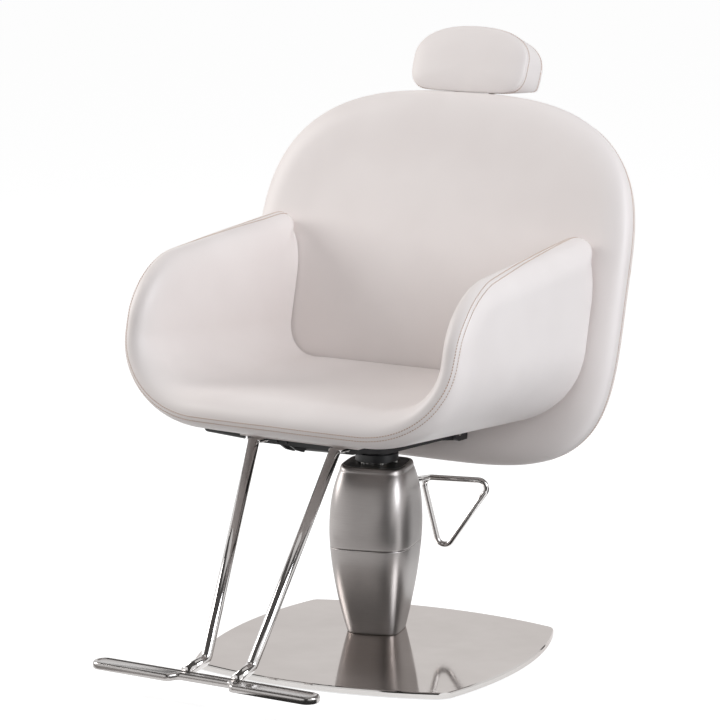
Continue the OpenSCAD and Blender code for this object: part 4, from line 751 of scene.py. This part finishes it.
def makeHead():
    f, crown, lip, lipIn = head["depth"] / 2, head["crown"], head["lip"], head["lipIn"]
    inset = head["roll"] * (1 - np.cos(np.radians(np.arange(90, 3, -4))))
    bow = f + lip + (crown - lip) * noseShare(inset, head["roll"], head["bowPow"])
    front = [headRing(d, -y) for d, y in zip(inset, bow)]
    rear = [headRing(d, y) for d, y in zip(inset[::-1], bow[::-1])]
    frontLip = [headRing(lipIn + lip * (1 - v), -f - lip * v) for v in (0.9, 0.5, 0.0)]
    rearLip = [headRing(lipIn + lip * (1 - v), f + lip * v) for v in (0.0, 0.5, 0.9)]
    u = np.linspace(-1, 1, 22)[1:-1]
    edge = head["seamFrom"]
    side = [headRing(head["seamIn"] * ease((abs(v) - edge) / (1 - edge)) - head["belly"] * (1 - v * v), f * v)
            for v in u]
    rings = headTurned(np.array(front + frontLip + side + rearLip + rear))
    points, faces = skin(rings, headTurned([0, -f - crown, 0]), headTurned([0, f + crown, 0]))
    piece = makePiece("headPad", points, faces, made["paleVinyl"], "headrest", ("headrest_cushion",))
    weld(piece, 1e-6)
    # rows of stitches: place fore and aft, inset, and how fast the inset grows
    (outward, faceIn), (inward, sideIn) = head["rowFace"], head["rowSide"]
    rows = ((-f - outward, faceIn, -1.0), (-f + inward, sideIn, 0.0),
            (f - inward, sideIn, 0.0), (f + outward, faceIn, 1.0))
    parts = [closedStitches(lambda k: headTurned(headRing(d + 0.001 * k * slope, y + 0.001 * k)),
                            headTurned([0, 0, 0])) for y, d, slope in rows]
    points, faces = joined(parts)
    makePiece("headStitching", points, faces, made["tanThread"], "headrest")


makeHead()
print("stage: headrest made")

# the pump column's two pressed covers
column = dict(height=0.293, foot=0.091, mid=0.143, top=0.108, waist=0.625, seamShare=0.532, lowPow=1.6,
              upPow=2.6, square=4.2, belly=0.016, wall=0.0025, base=0.012, turn=15.4, shoulder=0.009,
              shoulderIn=0.004, seamGap=0.0003, lip=0.0009, slotHalf=10.3, slotLow=0.218, slotHigh=0.249,
              bellyPow=0.8)


def barrelHalf(t):
    # half width at a share t of the height: widest at the waist, falling off by a power either way
    w = column["waist"]
    up = (column["mid"] - column["top"]) / 2 * np.maximum((t - w) / (1 - w), 0) ** column["upPow"]
    low = (column["mid"] - column["foot"]) / 2 * np.maximum((w - t) / w, 0) ** column["lowPow"]
    return column["mid"] / 2 - up - low


def barrelRings(half, z, angles):
    # rounded square, (|cos|^n + |sin|^n)^(1/n), its front half stretched by the belly
    half, z = np.asarray(half)[:, None], np.asarray(z)[:, None]
    n = column["square"]
    q = (np.abs(np.cos(angles)) ** n + np.abs(np.sin(angles)) ** n) ** (1 / n)
    t = np.clip((z - column["base"]) / column["height"], 0, 1)
    belly = column["belly"] * np.sin(np.pi * t) ** column["bellyPow"]
    x, y = half * np.cos(angles) / q, half * np.sin(angles) / q
    y = np.where(y < 0, y * (1 + belly / half), y)
    return turned(np.stack([x, y, np.broadcast_to(z, x.shape)], -1), column["turn"])


def makeCover(name, half, z, angles, node, slot=None):
    # wall of even thickness: up the outside, down the inside, shut into a loop
    outer = barrelRings(half, z, angles)
    inner = barrelRings(np.asarray(half) - column["wall"], z, angles)[::-1]
    n, m = len(z), len(angles)
    faces = gridFaces(2 * n, m, loopCols=True, loopRows=True)
    if slot:
        r0, r1, c0, c1 = slot
        row, col = faces[:, 0] // m, faces[:, 0] % m
        mirrored = 2 * n - 2 - row
        inRows = ((row >= r0) & (row < r1)) | ((mirrored >= r0) & (mirrored < r1))
        faces = faces[~((col >= c0) & (col < c1) & inRows)]
        outerAt = lambda r, c: r * m + c
        innerAt = lambda r, c: (2 * n - 1 - r) * m + c
        c, r = np.arange(c0, c1), np.arange(r0, r1)
        walls = [np.stack([outerAt(r0, c), outerAt(r0, c + 1), innerAt(r0, c + 1), innerAt(r0, c)], -1),
                 np.stack([outerAt(r1, c + 1), outerAt(r1, c), innerAt(r1, c), innerAt(r1, c + 1)], -1),
                 np.stack([outerAt(r + 1, c0), outerAt(r, c0), innerAt(r, c0), innerAt(r + 1, c0)], -1),
                 np.stack([outerAt(r, c1), outerAt(r + 1, c1), innerAt(r + 1, c1), innerAt(r, c1)], -1)]
        faces = np.concatenate([faces] + walls)
    points = np.concatenate([outer, inner]).reshape(-1, 3)
    makePiece(name, points, faces, made["satinSteel"], "base", (node,))


def makeColumn():
    h, z0, lip = column["height"], column["base"], column["lip"]
    even = np.arange(192) * 2 * np.pi / 192
    t = np.linspace(0, column["seamShare"], 60)
    half, z = barrelHalf(t), z0 + t * h
    z[-1] -= column["seamGap"]
    a = np.radians([30, 60, 90])
    half = np.concatenate([half[:-1], half[-1] - lip * (1 - np.cos(a))])
    z = np.concatenate([z[:-1], z[-1] - lip * (1 - np.sin(a))])
    makeCover("columnLower", half, z, even, "column_cover_lower")
    shoulderT = 1 - column["shoulder"] / h
    slotT = [(column[k] - z0) / h for k in ("slotLow", "slotHigh")]
    t = np.unique(np.round(np.concatenate([np.linspace(column["seamShare"], shoulderT, 56), slotT]), 6))
    half, z = barrelHalf(t), z0 + t * h
    a = np.radians(np.arange(6, 91, 6))
    b = np.radians([0, 30, 60])
    half = np.concatenate([half[0] - lip * (1 - np.sin(b)), half[1:],
                           half[-1] - column["shoulderIn"] * (1 - np.cos(a))])
    z = np.concatenate([z[0] + lip * (1 - np.cos(b)), z[1:], z[-1] + column["shoulder"] * np.sin(a)])
    s = column["slotHalf"]
    angles = np.radians(np.concatenate([np.linspace(90 - s, 90 + s, 13)[:-1],
                                        np.linspace(90 + s, 450 - s, 181)[:-1]]))
    rows = [int(np.argmin(np.abs(z - column[k]))) for k in ("slotLow", "slotHigh")]
    makeCover("columnUpper", half, z, angles, "column_cover_upper", (rows[0], rows[1], 0, 12))


makeColumn()
print("stage: column made")

# footrest: two bent tubes, their screw tabs, and the tread
foot = dict(tube=0.019, topX=0.079, topY=-0.262, lowX=0.044, lowY=-0.462, lowZ=0.058, barX=0.050,
            barY=-0.532, barZ=0.046, end=-0.5135, tabW=0.024, tabT=0.006, tabL=0.046, tabR=0.006,
            tabGap=0.0002, tubeSink=0.002)
# the tabs lie under the seat board, which is raked with the tub
seatMid = np.array(tub["under"] + tub["seatPad"] / 2)
rake = dict(y=float(backFront(np.array(0.0), seatMid) - tub["gap"]), z=0.368)
frontLift = tub["rise"] + (1 - tub["underShare"]) * tub["seatPad"] / 2
rake["angle"] = math.atan(frontLift / (tub["ahead"] + rake["y"]))


def onRake(points):
    # turned about the seat board's rear edge, so that the front is higher
    p = np.asarray(points, float) - [0, rake["y"], rake["z"]]
    x, y, z = p.T
    c, s = math.cos(rake["angle"]), math.sin(rake["angle"])
    return np.stack([x, y * c + z * s + rake["y"], -y * s + z * c + rake["z"]], -1)


def makeFootTube(name, s, node):
    f = foot
    topZ = rake["z"] + (rake["y"] - f["topY"]) * math.tan(rake["angle"])
    top = np.array([s * f["topX"], f["topY"], topZ - f["tubeSink"]])
    low = np.array([s * f["lowX"], f["lowY"], f["lowZ"]])
    bar = np.array([s * f["barX"], f["barY"], f["barZ"]])
    end = low + (bar - low) * (f["end"] - low[1]) / (bar[1] - low[1])
    tube = rod([top, low, end], f["tube"], f["tube"] / 2, 48)
    x, y = s * f["topX"], f["topY"] - f["tabT"]
    tab = roundedBox([x - f["tabW"] / 2, y, rake["z"] - f["tabT"]],
                     [x + f["tabW"] / 2, y + f["tabL"], rake["z"] - f["tabGap"]], f["tabR"])
    points, faces = joined([tube, (onRake(tab[0]), tab[1])])
    makePiece(name, points, faces, made["chromeRod"], "seat", (node,))


tread = dict(half=0.214, front=-0.552, rear=-0.512, step=0.059, inner=-0.534, slant=0.010, top=0.052,
             thick=0.012, rimW=0.0044, sink=0.0016, edgeR=0.0045, cornerR=0.0199, stepR=0.012, innerR=0.009,
             lowR=0.0022)


def makeTread():
    b = tread
    # outline with a step in its front edge, each corner with its own radius
    inX, outR, stepR, innerR = b["step"] - b["slant"], b["cornerR"], b["stepR"], b["innerR"]
    corners = [(-b["half"], b["front"]), (-b["step"], b["front"]), (-inX, b["inner"]),
               (inX, b["inner"]), (b["step"], b["front"]), (b["half"], b["front"]),
               (b["half"], b["rear"]), (-b["half"], b["rear"])]
    radii = [outR, stepR, innerR, innerR, stepR, outR, outR, outR]
    line, along = roundedRoute([(x, y, 0) for x, y in corners], radii, steps=14, loop=True)
    out = np.stack([along[:, 1], -along[:, 0], 0 * along[:, 0]], -1)
    top, low = b["top"], b["top"] - b["thick"]
    a = np.radians(np.arange(0, 91, 15))
    r = b["edgeR"]
    profile = [(b["lowR"], low), (0.0008, low + 0.0006), (0.0, low + b["lowR"])]
    profile += [(r * (1 - math.cos(v)), top - r + r * math.sin(v)) for v in a]
    profile += [(r + b["rimW"] * (0.35 + 0.65 * k / 5), top - b["sink"] * float(ease(k / 5)))
                for k in range(1, 6)]
    rings = np.array([line - out * d + [0, 0, z] for d, z in profile])
    n, m = len(profile), len(line)
    faces = gridFaces(n, m, loopCols=True).tolist()
    faces += [list(range(m))[::-1], list(range((n - 1) * m, n * m))]
    makePiece("footTread", rings.reshape(-1, 3), faces, made["treadSteel"], "seat",
              ("foot_bar",))


makeFootTube("footTubeLeft", 1, "footrest_tube_left")
makeFootTube("footTubeRight", -1, "footrest_tube_right")
makeTread()
print("stage: footrest made")

# pump pedal: a boss on the pin, a stem and a three-cornered loop
pedal = dict(rod=0.0105, z=0.238, pivotY=0.046, near=0.035, barL=0.128, drop=0.139, rise=0.007, lowIn=0.035,
             back=0.170, bend=0.014, bossW=0.016, bossD=0.018, bore=0.0081, turn=15.4, chamfer=0.0006,
             thinner=0.0001)


def makePedal():
    p = pedal
    top = p["z"] + p["rise"]
    a, b = [p["near"], p["back"], top], [p["near"] + p["barL"], p["back"], top]
    v = [p["near"] + p["lowIn"], p["back"], top - p["drop"]]
    loop, along = roundedRoute([a, v, b], p["bend"], steps=14, loop=True)
    side = unit(np.cross(np.subtract(v, a), np.subtract(b, v)))
    rings = rodRings(loop, along, side, p["rod"] / 2)
    ring = (rings.reshape(-1, 3), gridFaces(len(loop), 32, loopCols=True, loopRows=True).tolist())
    stem = rod([[0, p["pivotY"], p["z"]], [p["near"] / 2, p["back"] - p["near"], top],
                [p["near"] + p["bend"], p["back"], top]], p["bend"], p["rod"] / 2 - p["thinner"])
    half, r, bore, cut = p["bossW"] / 2, p["bossD"] / 2, p["bore"] / 2, p["chamfer"]
    profile = np.array([(-half, bore), (-half, r - cut), (-half + cut, r), (half - cut, r), (half, r - cut),
                        (half, bore)])
    t = np.arange(48) * 2 * np.pi / 48
    x, reach = np.repeat(profile[:, :1], 48, 1), profile[:, 1:]
    boss = np.stack([x, p["pivotY"] + reach * np.cos(t), p["z"] + reach * np.sin(t)], -1)
    bossPart = (boss.reshape(-1, 3), gridFaces(6, 48, loopCols=True, loopRows=True).tolist())
    points, faces = joined([ring, stem, bossPart])
    piece = makePiece("pedalRod", turned(points, p["turn"]), faces, made["chromeRod"], "foot_pedal",
                      ("pedal",))
    weld(piece, 1e-7)


makePedal()
print("stage: pedal made")

# finishes of the CAD nodes that stay
nodeFinish = {
    "rubberSheet": ["base_pad"],
    "millSteel": ["base_plate", "headrest_plate"],
    "mirrorSteel": ["base_cover"],
    "pumpPaint": ["pump_body"],
    "darkMoulding": ["column_cap", "release_grip"],
    "zincPlate": ["pump_bolts", "pedal_pin", "collar_screws", "hub_bolts", "hub_nuts", "board_screws",
                  "footrest_bolts", "hinge_pin_left", "hinge_pin_right", "gas_pin_front", "back_screws",
                  "crank_pin"],
    "chromeRod": ["pump_plunger", "lift_ram", "gas_rod", "release_lever", "headrest_posts"],
    "bronzeBush": ["thrust_washer"],
    "paleVinyl": ["seat_board"],
    "plyBoard": ["back_board"],
    "tubeSteel": ["headrest_guides"],
    "blackCoat": ["swivel_hub", "bearing_collar", "seat_frame", "gas_cylinder", "back_frame"],
}
for finish, nodes in nodeFinish.items():
    for node in nodes:
        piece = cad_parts[node]
        if not piece.material_slots:
            piece.data.materials.append(made[finish])
        for slot in piece.material_slots:
            slot.material = made[finish]
print("stage: CAD nodes finished")

# floor, soft studio light and a white surround
stage = dict(floorSize=30.0, floorColour=0.50, floorRough=0.9, floorGlow=0.77, surround=0.42,
             camera=(3.023, -5.008, 1.566), pitch=10.5, azimuth=31.4, lens=175.0, sensor=36.0,
             cardPoints=25, cardGlow=(1, 0.96, 0.94))


def seenRays(tree):
    # 1 for rays from the camera, off polished metal or through glass, else 0
    rays = tree.nodes.new("ShaderNodeLightPath").outputs
    return mathNode(tree, "MAXIMUM", rays["Is Camera Ray"],
                    mathNode(tree, "MAXIMUM", rays["Is Glossy Ray"], rays["Is Transmission Ray"]))


def makePaint(name, grey, glow):
    # matt paint whose base and glow have colours of their own
    paint = bpy.data.materials.new(name)
    paint.use_nodes = True
    bsdf = paint.node_tree.nodes["Principled BSDF"]
    bsdf.inputs["Base Color"].default_value = (grey, grey, grey, 1)
    bsdf.inputs["Specular IOR Level"].default_value = 0.0
    bsdf.inputs["Emission Color"].default_value = (*glow, 1)
    return paint, bsdf


def makeStage():
    paint, bsdf = makePaint("paleFloor", stage["floorColour"], (1, 1, 1))
    tree = paint.node_tree
    bsdf.inputs["Roughness"].default_value = stage["floorRough"]
    tree.links.new(mathNode(tree, "MULTIPLY", seenRays(tree), stage["floorGlow"]),
                   bsdf.inputs["Emission Strength"])
    h = stage["floorSize"] / 2
    corners = [(-h, -h, 0), (h, -h, 0), (h, h, 0), (-h, h, 0)]
    floor = placed("floor", makeMesh("floor", corners, [(0, 1, 2, 3)], paint))
    world = bpy.data.worlds.new("studio")
    bpy.context.scene.world = world
    world.use_nodes = True
    tree = world.node_tree
    surround = tree.nodes["Background"]
    surround.inputs["Color"].default_value = (1, 1, 1, 1)
    seen = seenRays(tree)
    spare = mathNode(tree, "MULTIPLY", mathNode(tree, "SUBTRACT", 1.0, seen), stage["surround"])
    tree.links.new(mathNode(tree, "ADD", seen, spare), surround.inputs["Strength"])


lamps = {
    "rightSoftbox": dict(at=(3.1, -0.3, 1.9), aim=(0, 0, 0.55), size=(1.6, 2.0), power=68,
                         colour=(0.91, 0.95, 1.0)),
    "leftSoftbox": dict(at=(-3.0, -1.0, 1.9), aim=(0, 0, 0.55), size=(1.6, 2.0), power=68,
                        colour=(1.0, 0.985, 0.975)),
    "topSoftbox": dict(at=(0.1, 0.2, 3.2), aim=(0, 0, 0.5), size=(2.2, 2.2), power=10,
                       colour=(1.0, 0.99, 0.98)),
}


def turnTo(way):
    return way.to_track_quat("-Z", "Y").to_euler()


def makeLamps():
    for name, lamp in lamps.items():
        data = bpy.data.lights.new(name, "AREA")
        data.shape = "RECTANGLE"
        data.size, data.size_y = lamp["size"]
        data.energy = lamp["power"]
        data.color = lamp["colour"]
        thing = placed(name, data)
        thing.location = lamp["at"]
        thing.rotation_euler = turnTo(Vector(lamp["aim"]) - Vector(lamp["at"]))


# dark cards that only polished metal sees: turn from the front in degrees, (radius, height) of two edges
cards = {
    "frontCard": dict(turn=(3, 38), low=(6.0, 0.0), high=(6.0, 4.8), glow=0.05),
    "sideCard": dict(turn=(108, 160), low=(6.0, 2.0), high=(6.0, 4.8), glow=0.15),
    "frontFloorCard": dict(turn=(5, 74), low=(0.55, 0.001), high=(6.0, 0.001), glow=0.05),
    "sideFloorCard": dict(turn=(106, 166), low=(0.45, 0.001), high=(6.0, 0.001), glow=0.08),
    "treadCard": dict(turn=(-60, 5), low=(0.64, 0.001), high=(0.98, 0.001), glow=0.45),
    "roofCard": dict(turn=(-180, 180), low=(6.0, 4.8), high=(0.05, 7.0), glow=0.10),
}


def makeCards():
    for name, card in cards.items():
        # part of a ring round the chair, from (radius, height) low to high
        a = np.radians(np.linspace(*card["turn"], stage["cardPoints"]))
        rows = [np.stack([r * np.sin(a), -r * np.cos(a), np.full(len(a), z)], -1)
                for r, z in (card["low"], card["high"])]
        paint, bsdf = makePaint(name + "Paint", 0, stage["cardGlow"])
        bsdf.inputs["Emission Strength"].default_value = card["glow"]
        thing = placed(name, makeMesh(name, np.concatenate(rows), gridFaces(2, len(a)), paint))
        for ray in ("camera", "diffuse", "transmission", "volume_scatter", "shadow"):
            setattr(thing, "visible_" + ray, False)


def makeCamera():
    data = bpy.data.cameras.new("camera")
    data.sensor_width = stage["sensor"]
    data.lens = stage["lens"]
    data.clip_end = 100.0
    thing = placed("camera", data)
    a, e = math.radians(stage["azimuth"]), math.radians(stage["pitch"])
    away = Vector((math.sin(a) * math.cos(e), -math.cos(a) * math.cos(e), math.sin(e)))
    thing.location = stage["camera"]
    thing.rotation_euler = turnTo(-away)
    bpy.context.scene.camera = thing


makeStage()
makeLamps()
makeCards()
makeCamera()
bpy.context.scene.view_settings.view_transform = "Standard"
print("stage: studio ready")
